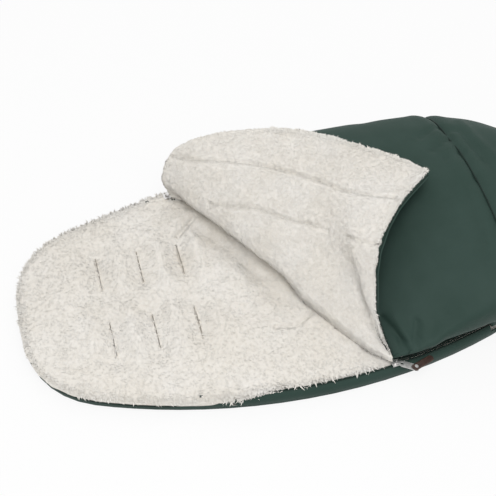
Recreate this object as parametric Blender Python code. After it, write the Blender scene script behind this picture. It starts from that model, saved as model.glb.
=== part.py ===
"""Stroller footmuff lying on its back, with one corner of its cover folded open.

Metres, +Z up.  X runs from the head end to the toe end, the near zip is at -Y,
and the origin is on the floor under the middle of the back.  Sizes and places
named in X are measured from the head tip.
"""
import math

import bmesh
import bpy
from mathutils import Matrix, Vector

# Overall outline of the back
LENGTH = 1.010
WIDTH = 0.462
EDGE_RADIUS_SHARE = 1.0396
WIDEST_SHARE = 0.4554
EDGE_RADIUS = LENGTH * EDGE_RADIUS_SHARE
WIDEST_X = LENGTH * WIDEST_SHARE
HEAD_ROUND = 0.110
TOE_ROUND = 0.200
HEAD_POWER = 3.0
TOE_POWER = 2.4
CENTRE_X = LENGTH / 2
BACK_GRID = (22, 14)
OUTLINE_COUNT = 72

# Clearances
GAP = 0.0003
LAYER_GAP = 0.0008
SIDE_GAP = 0.0012
OVERRUN = 0.012
HANG_GAP = 0.0040
WALL_GAP = 0.0080
SEWN_GAP = 0.0008
WELD = 0.00001
STEP_SHARE = 0.004
SHARP_ANGLE = math.radians(50)

# Back: grip patches, outer shell, wadding and fleece lining
PATCH_THICK = 0.0010
PATCH_WIDTH = 0.200
PATCH_CORNER = 0.015
PATCH_PLACE_SHARES = (0.075, 0.375, 0.545, 0.800)
PATCH_LENGTH_SHARES = (0.060, 0.080, 0.130, 0.110)
BACK_SHELL = 0.0020
BACK_WALL_TOP = 0.0170
LINING_EDGE_TOP = 0.0250
LINING_EDGE_THICK = 0.0070
CROWN = 0.0090
CROWN_RUN = 0.0600
FLAT_RIM = 0.0400
RIM_ROUND = 0.0060
DIMPLE = 0.0040
DIMPLE_REACH = 0.0220

# Harness slots
SLOT_ROWS = 3
FIRST_SLOT_X = 0.138
SLOT_PITCH = 0.070
SLOT_INNER_Y = 0.033
SLOT_LENGTH = 0.067
SLOT_WIDTH = 0.0096
BINDING_WALL = 0.0012
BINDING_PROUD = 0.0012
CROTCH_SLOT_X = 0.470
CROTCH_SLOT_LENGTH = 0.058

# Cover: arch over the legs, with its shell, wadding and lining
COVER_SHELL = 0.0018
COVER_WADDING = 0.0090
COVER_LINING = 0.0070
SIDE_BULGE = 0.030
COVER_INSET = 0.018
BULGE_HEIGHT = 0.052
ARCH_HEIGHT = 0.092
FRONT_SHARE = 0.60
FRONT_RUN = 0.090
FRONT_POWER = 2.0
BLEND = 0.004
ARCH_RUN = 0.330
MOUTH_SHARE = 0.20
MOUTH_LEAN_SHARE = 1.0
FAN_HALVINGS = 12
PINCH_START_SHARE = 0.40
PINCH_SHARE = 0.94
ARCH_POWER = 2.4
SEAM_ANGLE = math.radians(112)
TOE_SEAM_X = 0.765
TOE_TIP_MARGIN = 0.006
COVER_COLUMNS = 12
TOE_COLUMNS = 6
ROW_SHARES = (0.0, 0.15, 0.30, 0.44, 0.57, 0.69, 0.80, 0.90, 0.966, 1.0)
TOE_END_SHARE = 0.92
SEAM_SHARE = 0.004

# Fold line of the open corner, from the near slider to the far edge
SLIDER_X = 0.556
FOLD_NEAR_Y = -0.215
FOLD_FAR_X = 0.285
FOLD_FAR_Y = 0.207
FOLD_Z = 0.044

# Turned-back corner: its shoulder line and its hem
TURNED_SHELL = 0.0018
TURNED_WADDING = 0.0070
TURNED_LINING = 0.0060
SHOULDER_NEAR_X = 0.560
SHOULDER_NEAR_Y = -0.212
SHOULDER_NEAR_Z = 0.066
SHOULDER_FAR_X = 0.300
SHOULDER_FAR_Y = 0.236
SHOULDER_FAR_Z = 0.140
HEM_PULL_X = 0.510
HEM_PULL_Y = 0.296
HEM_PULL_Z = 0.150
HEM_CORNER_X = 0.681
HEM_CORNER_Y = 0.030
HEM_CORNER_Z = 0.203
APEX_SHARE = 0.03
APEX_THICK_SHARE = 0.35
APEX_RUN_SHARE = 0.30
FRONT_BULGE = 0.012
FLAP_BULGE = 0.030
ZIP_EDGE_BOW = 0.034
FRONT_GRID = (8, 3)
FLAP_GRID = (9, 10)

# Hem binding and piping
BINDING_THICK = 0.0010
PIPING_RADIUS = 0.0015
PIPING_POINTS = 28

# Zips: a coil lies on the rim at each side of the split that the slider runs along
ZIP_START_X = 0.250
ZIP_END_X = 0.752
ZIP_COLUMNS = 22
ZIP_INSET = 0.0100
TAPE_THICK = 0.0010
TAPE_LOW = 0.0080
FLAT_START_SHARE = 0.72
TAPE_TUCK = 0.0100
TAPE_SHOW = 0.0050
TAPE_END_SHARE = 0.95
COIL_RADIUS = 0.0014
COIL_SPLIT = 0.0016
STOP_LENGTH = 0.0050
STOP_PROUD = 0.0012

# Sliders
NEAR_SLIDER_X = 0.566
FAR_SLIDER_X = 0.285
SLIDER_LENGTH = 0.0130
SLIDER_WIDTH = 0.0112
FLANGE_THICK = 0.0014
PLATE_THICK = 0.0014
NECK_THICK = 0.0010
LUG_LENGTH = 0.0030
LUG_THICK = 0.0010
LUG_GAP = 0.0050
PIN_RADIUS = 0.0010
PIN_HEIGHT = 0.0026

# Pulls and leather tabs
NEAR_PULL_YAW = math.radians(-35)
FAR_PULL_YAW = math.radians(-35)
PULL_DROOP = math.radians(4)
PULL_LENGTH = 0.0380
PULL_WIDTH = 0.0110
PULL_THICK = 0.0016
PULL_NOSE = 0.0100
PULL_NECK = 0.0030
PULL_NECK_WIDTH = 0.0044
PULL_CORNER = 0.0015
BARREL_RADIUS = 0.0019
EYE_X = 0.0100
EYE_LENGTH = 0.0062
EYE_WIDTH = 0.0036
NEAR_TAB_YAW = math.radians(48)
FAR_TAB_YAW = math.radians(48)
TAB_LENGTH = 0.0420
TAB_WIDTH = 0.0110
TAB_THICK = 0.0026
TAB_OVERLAP = 0.0060
RIVET_RADIUS = 0.0018
RIVET_HEAD = 0.0030
RIVET_HEAD_THICK = 0.0008
RIVET_MARGIN = 0.0050

COLOURS = {
    "fleece": ((0.80, 0.77, 0.73, 1.0), 0.95, 0.0),
    "green": ((0.036, 0.068, 0.056, 1.0), 0.62, 0.0),
    "wadding": ((0.86, 0.86, 0.84, 1.0), 0.95, 0.0),
    "tape": ((0.018, 0.032, 0.027, 1.0), 0.70, 0.0),
    "metal": ((0.42, 0.41, 0.40, 1.0), 0.30, 1.0),
    "leather": ((0.045, 0.020, 0.014, 1.0), 0.55, 0.0),
    "rubber": ((0.030, 0.030, 0.032, 1.0), 0.80, 0.0),
}


def new_collection(name):
    collection = bpy.data.collections.new(name)
    bpy.context.scene.collection.children.link(collection)
    return collection


for old in list(bpy.data.objects):
    bpy.data.objects.remove(old, do_unlink=True)
PARTS = new_collection("stroller_footmuff")
CUTTERS = new_collection("cutters")


def finish(obj, colour):
    """Link a piece with its own material."""
    rgba, rough, metal = COLOURS[colour]
    material = bpy.data.materials.new(obj.name)
    material.use_nodes = True
    shader = material.node_tree.nodes["Principled BSDF"]
    shader.inputs["Base Color"].default_value = rgba
    shader.inputs["Roughness"].default_value = rough
    shader.inputs["Metallic"].default_value = metal
    obj.data.materials.clear()
    obj.data.materials.append(material)
    PARTS.objects.link(obj)
    return obj


def span(low, high, share):
    return low + (high - low) * share


def smooth(share):
    share = min(max(share, 0.0), 1.0)
    return share * share * (3.0 - 2.0 * share)


def signed_power(value, power):
    return math.copysign(abs(value) ** power, value)


# Outline of the back


def edge_arc(x):
    """Half width on the long side arc, whose centre lies across the back."""
    side = EDGE_RADIUS ** 2 - (x - WIDEST_X) ** 2
    return math.sqrt(side) - EDGE_RADIUS + WIDTH / 2


def end_share(distance, reach, power):
    left = 1.0 - min(max(distance / reach, 0.0), 1.0)
    return max(1.0 - left ** power, 0.0) ** (1.0 / power)


def half_width(x, inset=0.0):
    """Half width of the back at x from the head tip, drawn in by an inset."""
    head = end_share(x - inset, HEAD_ROUND - inset, HEAD_POWER)
    toe = end_share(LENGTH - inset - x, TOE_ROUND - inset, TOE_POWER)
    return (edge_arc(x) - inset) * head * toe


def outline_point(u, v, inset=0.0):
    """Point of the back for u, v from -1 to 1, with the square drawn to a disc."""
    across = v * math.sqrt(1.0 - u * u / 2.0)
    along = u * math.sqrt(1.0 - v * v / 2.0)
    x = span(inset, LENGTH - inset, (along + 1.0) / 2.0)
    rim = math.sqrt(max(1.0 - along * along, 1e-9))
    return x, across / rim * half_width(x, inset)


def edge_distance(x, y):
    ends = min(x, LENGTH - x)
    return max(min(half_width(x) - abs(y), ends), 0.0)


# Solid sheets between two surfaces


def sheet(name, surface, columns, rows, colour, origin=Vector()):
    """Close a sheet between a grid for its top and a twin of it for its underside."""
    bm = bmesh.new()
    bmesh.ops.create_grid(bm, x_segments=columns, y_segments=rows, size=1.0)
    bmesh.ops.triangulate(bm, faces=bm.faces[:], quad_method="FIXED")
    shares = {vert: (vert.co.x, vert.co.y) for vert in bm.verts}
    under = bmesh.ops.duplicate(bm, geom=bm.faces[:] + bm.edges[:] + bm.verts[:])
    twin = {a: b for a, b in under["vert_map"].items() if isinstance(a, bmesh.types.BMVert)}
    rim = [edge for edge in bm.edges if edge.is_boundary and edge.verts[0] in shares]
    for edge in rim:
        a, b = edge.verts
        if a in twin and b in twin:
            bm.faces.new((a, b, twin[b], twin[a]))
    for vert, (u, v) in shares.items():
        vert.co = surface(u, v, 0.0) - origin
        twin[vert].co = surface(u, v, 1.0) - origin
    bmesh.ops.recalc_face_normals(bm, faces=bm.faces[:])
    bmesh.ops.triangulate(bm, faces=bm.faces[:])
    mesh = bpy.data.meshes.new(name)
    bm.to_mesh(mesh)
    bm.free()
    mesh.shade_smooth()
    mesh.set_sharp_from_angle(angle=SHARP_ANGLE)
    obj = finish(bpy.data.objects.new(name, mesh), colour)
    obj.location = origin
    return obj


def placed(x, y, z):
    return Vector((x - CENTRE_X, y, z))


# Back


def slot_places():
    """Middle of each slot as x, y and length; slots lie across the back."""
    middle = SLOT_INNER_Y + SLOT_LENGTH / 2
    for row in range(SLOT_ROWS):
        for side in (-1, 1):
            yield FIRST_SLOT_X + SLOT_PITCH * row, side * middle, SLOT_LENGTH
    yield CROTCH_SLOT_X, 0.0, CROTCH_SLOT_LENGTH


def lining_top(x, y):
    """Height of the fleece: a flat rim, a crown and a dimple at each slot."""
    inward = edge_distance(x, y)
    rise = CROWN * smooth((inward - FLAT_RIM) / CROWN_RUN)
    round_off = RIM_ROUND * (1.0 - min(inward / RIM_ROUND, 1.0)) ** 2
    dip = 0.0
    for slot_x, slot_y, length in slot_places():
        along = max(abs(y - slot_y) - length / 2, 0.0)
        away = math.hypot(x - slot_x, along) / DIMPLE_REACH
        dip = max(dip, DIMPLE * math.exp(-away * away))
    return PATCH_THICK + LINING_EDGE_TOP + rise - round_off - dip


def lining_under(x, y):
    inward = edge_distance(x, y)
    rise = CROWN * smooth((inward - FLAT_RIM) / CROWN_RUN)
    return PATCH_THICK + LINING_EDGE_TOP - LINING_EDGE_THICK + rise - DIMPLE * smooth(inward / CROWN_RUN)


def ringed(share, count, half_size):
    """Move the two outer rings of a grid to the rim's round and to its flat edge."""
    ring = abs(share) * count / 2
    outer = count / 2 - 1
    inner = outer - 1
    flat = 1.0 - FLAT_RIM / half_size
    rounded = 1.0 - RIM_ROUND / half_size
    if ring <= inner:
        moved = flat * ring / inner
    elif ring <= outer:
        moved = span(flat, rounded, ring - inner)
    else:
        moved = span(rounded, 1.0, ring - outer)
    return math.copysign(moved, share)


def back_point(u, v, inset=0.0):
    return outline_point(ringed(u, BACK_GRID[0], LENGTH / 2), ringed(v, BACK_GRID[1], WIDTH / 2), inset)


def base_lining_surface(u, v, side):
    x, y = back_point(u, v)
    z = lining_under(x, y) if side else lining_top(x, y)
    return placed(x, y, z)


def base_wadding_surface(u, v, side):
    x, y = back_point(u, v, BACK_SHELL + SIDE_GAP)
    low = PATCH_THICK + GAP + BACK_SHELL + GAP
    z = low if side else lining_under(x, y) - LAYER_GAP
    return placed(x, y, z)


def build_back_shell():
    """Tray: the outline extruded up, with its inside cut out."""
    outer = outline_prism("base_shell", 0.0, PATCH_THICK + GAP, BACK_WALL_TOP)
    inner = outline_prism("base_shell_cutter", BACK_SHELL, PATCH_THICK + GAP + BACK_SHELL,
                          BACK_WALL_TOP + OVERRUN)
    finish(outer, "green")
    cut(outer, inner)
    return outer


def outline_ring(inset):
    points = []
    for index in range(OUTLINE_COUNT):
        angle = 2 * math.pi * index / OUTLINE_COUNT
        along = math.cos(angle)
        x = span(inset, LENGTH - inset, (along + 1) / 2)
        rim = math.sqrt(max(1 - along * along, 1e-9))
        points.append((x, math.sin(angle) / rim * half_width(x, inset)))
    return points


def outline_prism(name, inset, low, high):
    bm = bmesh.new()
    ring = [bm.verts.new(placed(x, y, low)) for x, y in outline_ring(inset)]
    face = bm.faces.new(ring)
    raised = bmesh.ops.extrude_face_region(bm, geom=[face])
    tops = [item for item in raised["geom"] if isinstance(item, bmesh.types.BMVert)]
    bmesh.ops.translate(bm, verts=tops, vec=(0, 0, high - low))
    bmesh.ops.recalc_face_normals(bm, faces=bm.faces[:])
    mesh = bpy.data.meshes.new(name)
    bm.to_mesh(mesh)
    bm.free()
    return bpy.data.objects.new(name, mesh)


def combine(obj, other, operation):
    CUTTERS.objects.link(other)
    other.hide_render = True
    other.display_type = "WIRE"
    boolean = obj.modifiers.new(other.name, "BOOLEAN")
    boolean.operation = operation
    boolean.solver = "EXACT"
    boolean.object = other


def cut(obj, cutter):
    combine(obj, cutter, "DIFFERENCE")


def join(obj, other):
    combine(obj, other, "UNION")


def stadium(length, width, segments=6):
    """Points round a slot that runs along Y."""
    radius = width / 2
    straight = length / 2 - radius
    points = []
    for side, start in ((1, 0.0), (-1, math.pi)):
        for index in range(segments + 1):
            angle = start + math.pi * index / segments
            points.append((radius * math.cos(angle), side * straight + radius * math.sin(angle)))
    return points


def prism(name, loops, low, high):
    """Flat outline, with any holes, extruded between two heights."""
    curve = bpy.data.curves.new(name, "CURVE")
    curve.dimensions = "2D"
    curve.fill_mode = "BOTH"
    curve.extrude = (high - low) / 2
    for loop in loops:
        spline = curve.splines.new("POLY")
        spline.points.add(len(loop) - 1)
        for point, (x, y) in zip(spline.points, loop):
            point.co = (x, y, 0.0, 1.0)
        spline.use_cyclic_u = True
    guide = bpy.data.objects.new(name, curve)
    guide.location.z = (low + high) / 2
    return curve_to_mesh(guide)


def curve_to_mesh(guide):
    """Mesh of a curve object, with its caps welded on."""
    PARTS.objects.link(guide)
    bpy.context.view_layer.update()
    evaluated = guide.evaluated_get(bpy.context.evaluated_depsgraph_get())
    mesh = bpy.data.meshes.new_from_object(evaluated)
    matrix = guide.matrix_world.copy()
    name = guide.name
    curve = guide.data
    bpy.data.objects.remove(guide, do_unlink=True)
    bpy.data.curves.remove(curve)
    bm = bmesh.new()
    bm.from_mesh(mesh)
    bmesh.ops.remove_doubles(bm, verts=bm.verts[:], dist=WELD)
    bmesh.ops.recalc_face_normals(bm, faces=bm.faces[:])
    bm.to_mesh(mesh)
    bm.free()
    mesh.name = name
    obj = bpy.data.objects.new(name, mesh)
    obj.matrix_world = matrix
    return obj


def shifted(loop, x, y):
    return [(x + px - CENTRE_X, y + py) for px, py in loop]


def slot_names():
    rows = ("upper", "middle", "lower")
    names = [f"slot_binding_{rows[row]}_{side}" for row in range(SLOT_ROWS) for side in ("near", "far")]
    return names + ["slot_binding_crotch"]


def build_slots(layers):
    for name, (x, y, length) in zip(slot_names(), slot_places()):
        for layer in layers:
            hole = prism(f"{name}_{layer.name}_cutter", [shifted(stadium(length, SLOT_WIDTH), x, y)],
                         -OVERRUN, LINING_EDGE_TOP + CROWN + OVERRUN)
            cut(layer, hole)
        outer = stadium(length - 2 * GAP, SLOT_WIDTH - 2 * GAP)
        inner = stadium(length - 2 * GAP - 2 * BINDING_WALL, SLOT_WIDTH - 2 * GAP - 2 * BINDING_WALL)
        top = lining_top(x, y) + BINDING_PROUD
        ring = prism(name, [shifted(outer, x, y), shifted(inner, x, y)], PATCH_THICK + GAP, top)
        finish(ring, "fleece")


# Cover


def cover_x(s, lateral):
    """x of the cover and of its mouth: s 0 to 1 to the toe seam, 1 to 2 over the toes."""
    along = (lateral * (WIDTH / 2 - COVER_INSET) - FOLD_NEAR_Y) / (FOLD_FAR_Y - FOLD_NEAR_Y)
    clear = span(SEWN_GAP, WALL_GAP, smooth(along / APEX_RUN_SHARE))
    lean = turned_thickness() * apex_share(along) + clear
    start = span(SLIDER_X, FOLD_FAR_X, along) + lean / abs(fold_frame()[1].x)
    if s <= 1.0:
        return span(start, TOE_SEAM_X, s), start
    return span(TOE_SEAM_X, LENGTH - TOE_TIP_MARGIN, math.sin((s - 1.0) * math.pi / 2)), start


def fold_frame():
    """Unit vectors along the fold line and out of it, towards the head."""
    along = Vector((FOLD_FAR_X - SLIDER_X, FOLD_FAR_Y - FOLD_NEAR_Y, 0.0)).normalized()
    out = Vector((-along.y, along.x, 0.0))
    return along, out


def lift(behind):
    """Share of the arch's height at a distance behind the mouth."""
    front = end_share(behind, FRONT_RUN, FRONT_POWER)
    rest = smooth(0.5 + behind / ARCH_RUN / 2) * 2 - 1
    rise = FRONT_SHARE * front + (1 - FRONT_SHARE) * rest
    return MOUTH_SHARE + (1 - MOUTH_SHARE) * rise


def toe_drop(x):
    return end_share(LENGTH - x, TOE_ROUND, TOE_POWER)


def cover_outer(u, v):
    """Outer face of the cover; u -1 to 1 from fold to toe, v -1 to 1 across.

    It stands up straight beside the zip, bulges out over it and closes in an arch.
    """
    s = u + 1.0
    angle = v * SEAM_ANGLE
    lateral = signed_power(math.sin(angle), 2 / ARCH_POWER) if abs(angle) < math.pi / 2 else math.copysign(1, v)
    x, start = cover_x(s, lateral)
    share = toe_drop(x) * lift((x - start) * abs(fold_frame()[1].x))
    raised = 1.0
    if abs(angle) > math.pi / 2:
        raised = 1 - math.cos(angle) / math.cos(SEAM_ANGLE)
        height = BULGE_HEIGHT * raised
    else:
        height = BULGE_HEIGHT + ARCH_HEIGHT * math.cos(angle) ** (2 / ARCH_POWER)
    bulge = (SIDE_BULGE + COVER_INSET) * share ** 2 * smooth(raised)
    y = lateral * (half_width(x) - COVER_INSET * toe_drop(x) + bulge)
    z = seam_height() + height * share
    return placed(x, y, soft_lower(z, under_flap(x, y)))


def soft_lower(a, b):
    """The lower of two heights, rounded where they meet."""
    low = min(a, b)
    return low - BLEND * math.log(math.exp((low - a) / BLEND) + math.exp((low - b) / BLEND))


def fan_height(x, y):
    """Height of the flap's fan of rays over a point, held level past its two ends."""
    near = shoulder_line(0.0)
    wanted = math.atan2(y - near.y, x - near.x)
    low, high = 0.0, 1.0
    for _ in range(FAN_HALVINGS):
        a = (low + high) / 2
        ray = hem_curve(a) - near
        if math.atan2(ray.y, ray.x) > wanted:
            low = a
        else:
            high = a
    ray = hem_curve((low + high) / 2) - near
    return near.z + math.hypot(x - near.x, y - near.y) * ray.z / math.hypot(ray.x, ray.y)


def under_flap(x, y):
    """Height that keeps the cover clear of the flap lying on it."""
    here = fan_height(x, y)
    slope_x = (fan_height(x + OVERRUN, y) - here) / OVERRUN
    slope_y = (fan_height(x, y + OVERRUN) - here) / OVERRUN
    return here - (turned_thickness() + HANG_GAP) * math.sqrt(1 + slope_x ** 2 + slope_y ** 2)


def slimming(s, v):
    """Share of the cover's thickness left where it is pinched at its corners and its toe."""
    lateral = math.sin(min(abs(v) * SEAM_ANGLE, math.pi / 2))
    x, start = cover_x(s, math.copysign(lateral, v))
    front = lift((x - start) * abs(fold_frame()[1].x))
    side = smooth((abs(v) - PINCH_START_SHARE) / (1 - PINCH_START_SHARE))
    return (1 - PINCH_SHARE * side * (1 - front)) * (1 - PINCH_SHARE * (1 - toe_drop(x)))


def cover_under(s, v, depth):
    """Point of the cover at a depth under its outer face: inward, down and in from the mouth."""
    angle = min(max(v * SEAM_ANGLE, -math.pi / 2), math.pi / 2)
    x, start = cover_x(s, math.sin(angle))
    front = MOUTH_LEAN_SHARE * (1.0 - smooth((x - start) / FRONT_RUN))
    inward = Vector((front, -math.sin(angle), -math.cos(angle))).normalized()
    return cover_outer(s - 1.0, v) + inward * depth * slimming(s, v)


def rim_height():
    """Top of the back's flat rim, which the zips lie on."""
    return PATCH_THICK + LINING_EDGE_TOP


def seam_height():
    return rim_height() + GAP + TAPE_THICK + GAP


def cover_column(column):
    """Where a column of the cover's grid lies: whole columns up to the seam, then over the toes."""
    if column <= COVER_COLUMNS:
        return column / COVER_COLUMNS
    return 1.0 + (column - COVER_COLUMNS) / TOE_COLUMNS * TOE_END_SHARE


def cover_layer(name, top, under, first, last, colour):
    """One layer of the cover between two columns of its grid."""
    low = cover_column(first) + (SEAM_SHARE if first == COVER_COLUMNS else 0.0)
    high = cover_column(last) - (SEAM_SHARE if last == COVER_COLUMNS else 0.0)

    def surface(u, v, side):
        s = cover_column(span(first, last, (u + 1) / 2))
        return cover_under(min(max(s, low), high), row_share(v), span(top, under, side))

    return sheet(name, surface, last - first, 2 * (len(ROW_SHARES) - 1), colour)


def row_share(v):
    """Row of the cover's grid, closer together beside the zip."""
    index = abs(v) * (len(ROW_SHARES) - 1)
    low = min(int(index), len(ROW_SHARES) - 2)
    return math.copysign(span(ROW_SHARES[low], ROW_SHARES[low + 1], index - low), v)


# Turned-back corner


def apex_share(r):
    """Share of the full thickness at r along the fold, which is pinched at the slider."""
    return span(APEX_THICK_SHARE, 1.0, smooth(r / APEX_RUN_SHARE))


def turned_thickness():
    return TURNED_SHELL + TURNED_WADDING + TURNED_LINING + 2 * GAP


def fold_line(r):
    near = Vector((SLIDER_X, FOLD_NEAR_Y, FOLD_Z))
    far = Vector((FOLD_FAR_X, FOLD_FAR_Y, FOLD_Z))
    return near.lerp(far, r)


def shoulder_line(r):
    near = Vector((SHOULDER_NEAR_X, SHOULDER_NEAR_Y, SHOULDER_NEAR_Z))
    far = Vector((SHOULDER_FAR_X, SHOULDER_FAR_Y, SHOULDER_FAR_Z))
    return near.lerp(far, r)


def front_outer(u, v):
    """Fleece face of the turned front, from the fold line up to the shoulder."""
    r = span(APEX_SHARE, 1.0, (u + 1) / 2)
    h = (v + 1) / 2
    top = shoulder_line(r) - Vector((0, 0, turned_thickness() + GAP))
    point = fold_line(r).lerp(top, h)
    point += fold_frame()[1] * FRONT_BULGE * r * math.sin(math.pi * h)
    return placed(*point)


def hem_curve(a):
    start = shoulder_line(1.0)
    pull = Vector((HEM_PULL_X, HEM_PULL_Y, HEM_PULL_Z))
    corner = Vector((HEM_CORNER_X, HEM_CORNER_Y, HEM_CORNER_Z))
    return start * (1 - a) ** 2 + pull * 2 * a * (1 - a) + corner * a * a


def flap_outer(u, v):
    """Fleece face of the flap, fanned from the slider to the hem."""
    r = span(APEX_SHARE, 1.0, (u + 1) / 2)
    a = (v + 1) / 2
    point = shoulder_line(0.0).lerp(hem_curve(a), r)
    swell = 4 * r * (1 - r)
    point.z += FLAP_BULGE * swell * math.sin(math.pi * a / 2)
    point.x -= ZIP_EDGE_BOW * swell * a * a
    return placed(*point)


def turned_origin(name):
    """Point on the line that a turned piece swings about."""
    line = fold_line if name.startswith("fold") else shoulder_line
    return placed(*line(0.0))


def turned_layer(name, face, top, under, size, colour):
    def surface(u, v, side):
        du = face(u + STEP_SHARE, v) - face(u - STEP_SHARE, v)
        dv = face(u, v + STEP_SHARE) - face(u, v - STEP_SHARE)
        normal = dv.cross(du).normalized()
        return face(u, v) - normal * span(top, under, side) * flap_slim(u)

    return sheet(name, surface, *size, colour, turned_origin(name))


def flap_edge(u, v, depth, outward, hem):
    """Point beside the flap's hem or zip edge: under its face by a depth and outward."""
    here = flap_outer(u, v)
    du = flap_outer(u + STEP_SHARE, v) - flap_outer(u - STEP_SHARE, v)
    dv = flap_outer(u, v + STEP_SHARE) - flap_outer(u, v - STEP_SHARE)
    normal = dv.cross(du).normalized()
    across = normal.cross(dv if hem else du).normalized()
    if across.dot(du if hem else dv) < 0:
        across.negate()
    return here - normal * depth + across * outward


def build_flap_trim():
    """Binding round the hem, and the tape and coil along the flap's zip edge."""
    def binding(u, v, side):
        depth = turned_thickness() * (v + 1) / 2
        return flap_edge(1.0, u, depth, GAP + BINDING_THICK * side, True)

    def tape_place(u, up, outward):
        u = span(-1.0, TAPE_END_SHARE, (u + 1) / 2)
        depth = (TURNED_LINING + GAP + TURNED_WADDING) * flap_slim(u) - up
        return flap_edge(u, 1.0, depth, outward, False)

    def tape(u, v, side):
        return tape_place(u, TAPE_THICK * (1 - side), GAP + TAPE_SHOW * (v + 1) / 2)

    sheet("flap_hem_binding", binding, FLAP_GRID[1], 2, "green", turned_origin("flap"))
    sheet("flap_zip_tape", tape, FLAP_GRID[0], 1, "tape", turned_origin("flap"))
    points = [tape_place(2 * index / FLAP_GRID[0] - 1, TAPE_THICK / 2, TAPE_SHOW + 2 * GAP + COIL_RADIUS)
              for index in range(FLAP_GRID[0] + 1)]
    tube("flap_zip_coil", points, COIL_RADIUS, "tape", turned_origin("flap"))


def flap_slim(u):
    return apex_share(span(APEX_SHARE, 1.0, (u + 1) / 2))


def tube(name, points, radius, colour, origin=Vector(), cyclic=False):
    """Round tube along a row of points."""
    curve = bpy.data.curves.new(name, "CURVE")
    curve.dimensions = "3D"
    curve.bevel_depth = radius
    curve.bevel_resolution = 1
    curve.use_fill_caps = not cyclic
    spline = curve.splines.new("POLY")
    spline.points.add(len(points) - 1)
    for point, place in zip(spline.points, points):
        point.co = (*(place - origin), 1.0)
    spline.use_cyclic_u = cyclic
    obj = finish(curve_to_mesh(bpy.data.objects.new(name, curve)), colour)
    obj.data.shade_smooth()
    obj.data.set_sharp_from_angle(angle=SHARP_ANGLE)
    obj.location = origin
    return obj


# Zips on the back and on the cover


def zip_point(x, side, inset, z):
    """Point beside the edge at x, inward of it by an inset."""
    return zip_frame(x, side, inset, z).translation


def side_name(side):
    return "near" if side < 0 else "far"


def build_zip(side, slider_x):
    """Tapes and coils of one zip; the cover's half shows from the slider on."""
    name = side_name(side)
    rim = rim_height()
    split = (COIL_SPLIT / 2 + COIL_RADIUS)
    tape_edge = ZIP_INSET - split - COIL_RADIUS - GAP
    corner = rim - RIM_ROUND

    def base_tape(u, v, layer):
        x = span(ZIP_START_X, ZIP_END_X, (u + 1) / 2)
        thick = TAPE_THICK * (1.0 - layer)
        rows = ((-GAP - thick, TAPE_LOW), (-GAP - thick, corner + GAP + thick / 2),
                (FLAT_START_SHARE * RIM_ROUND, rim + GAP + thick), (tape_edge, rim + GAP + thick))
        return zip_point(x, side, *rows[round(3 * (v + 1) / 2)])

    def cover_tape(u, v, layer):
        x = span(slider_x, ZIP_END_X, (u + 1) / 2)
        inset = 2 * ZIP_INSET - tape_edge + TAPE_TUCK * (v + 1) / 2
        return zip_point(x, side, inset, rim + GAP + TAPE_THICK * (1.0 - layer))

    sheet(f"base_zip_tape_{name}", base_tape, ZIP_COLUMNS, 3, "green")
    sheet(f"cover_zip_tape_{name}", cover_tape, ZIP_COLUMNS // 2, 1, "tape")
    height = rim + GAP + COIL_RADIUS
    for part, start, inset in (("base", ZIP_START_X, ZIP_INSET - split),
                               ("cover", slider_x, ZIP_INSET + split)):
        points = [zip_point(span(start, ZIP_END_X, index / ZIP_COLUMNS), side, inset, height)
                  for index in range(ZIP_COLUMNS + 1)]
        tube(f"{part}_zip_coil_{name}", points, COIL_RADIUS, "tape")
    for end, x in (("stop", ZIP_END_X + GAP + STOP_LENGTH / 2), ("box", ZIP_START_X - GAP - STOP_LENGTH / 2)):
        width = 2 * (split + COIL_RADIUS) if end == "stop" else 2 * COIL_RADIUS
        inset = ZIP_INSET if end == "stop" else ZIP_INSET - split
        high = 2 * COIL_RADIUS + STOP_PROUD
        frame = zip_frame(x, -1, inset, rim + GAP + high / 2)
        finish(block(f"zip_{end}_{name}", (width, STOP_LENGTH, high), frame, side), "metal")


def zip_frame(x, side, inset, z):
    """Frame at a place on the zip: its X points outward, its Y along the zip and its Z up."""
    centre_y = -side * (EDGE_RADIUS - WIDTH / 2)
    edge = Vector((x, side * edge_arc(x), z))
    outward = Vector((x - WIDEST_X, edge.y - centre_y, 0.0)).normalized()
    place = edge - outward * inset
    up = Vector((0, 0, 1))
    frame = Matrix((outward, up.cross(outward), up)).transposed().to_4x4()
    return Matrix.Translation(placed(*place)) @ frame


def body(name, bm, frame, side, origin=Vector()):
    """Object of a mesh built for the near side, mirrored for the far side."""
    bmesh.ops.transform(bm, matrix=frame, verts=bm.verts[:])
    if side > 0:
        bmesh.ops.scale(bm, vec=(1, -1, 1), verts=bm.verts[:])
    bmesh.ops.translate(bm, vec=-origin, verts=bm.verts[:])
    bmesh.ops.recalc_face_normals(bm, faces=bm.faces[:])
    mesh = bpy.data.meshes.new(name)
    bm.to_mesh(mesh)
    bm.free()
    mesh.shade_smooth()
    mesh.set_sharp_from_angle(angle=SHARP_ANGLE)
    obj = bpy.data.objects.new(name, mesh)
    obj.location = origin
    return obj


def block(name, size, frame, side, origin=Vector()):
    bm = bmesh.new()
    bmesh.ops.create_cube(bm, size=1.0)
    bmesh.ops.scale(bm, vec=size, verts=bm.verts[:])
    return body(name, bm, frame, side, origin)


def rod(name, radius, length, frame, side, origin=Vector(), segments=16):
    """Cylinder along the Z of its frame."""
    bm = bmesh.new()
    bmesh.ops.create_cone(bm, cap_ends=True, segments=segments, radius1=radius, radius2=radius, depth=length)
    return body(name, bm, frame, side, origin)


def plate(name, loops, thick, frame, side, origin=Vector()):
    """Flat plate centred on the XY plane of its frame."""
    flat = prism(name, loops, -thick / 2, thick / 2)
    bm = bmesh.new()
    bm.from_mesh(flat.data)
    bpy.data.objects.remove(flat, do_unlink=True)
    return body(name, bm, frame, side, origin)


# Sliders, pulls and leather tabs


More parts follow.
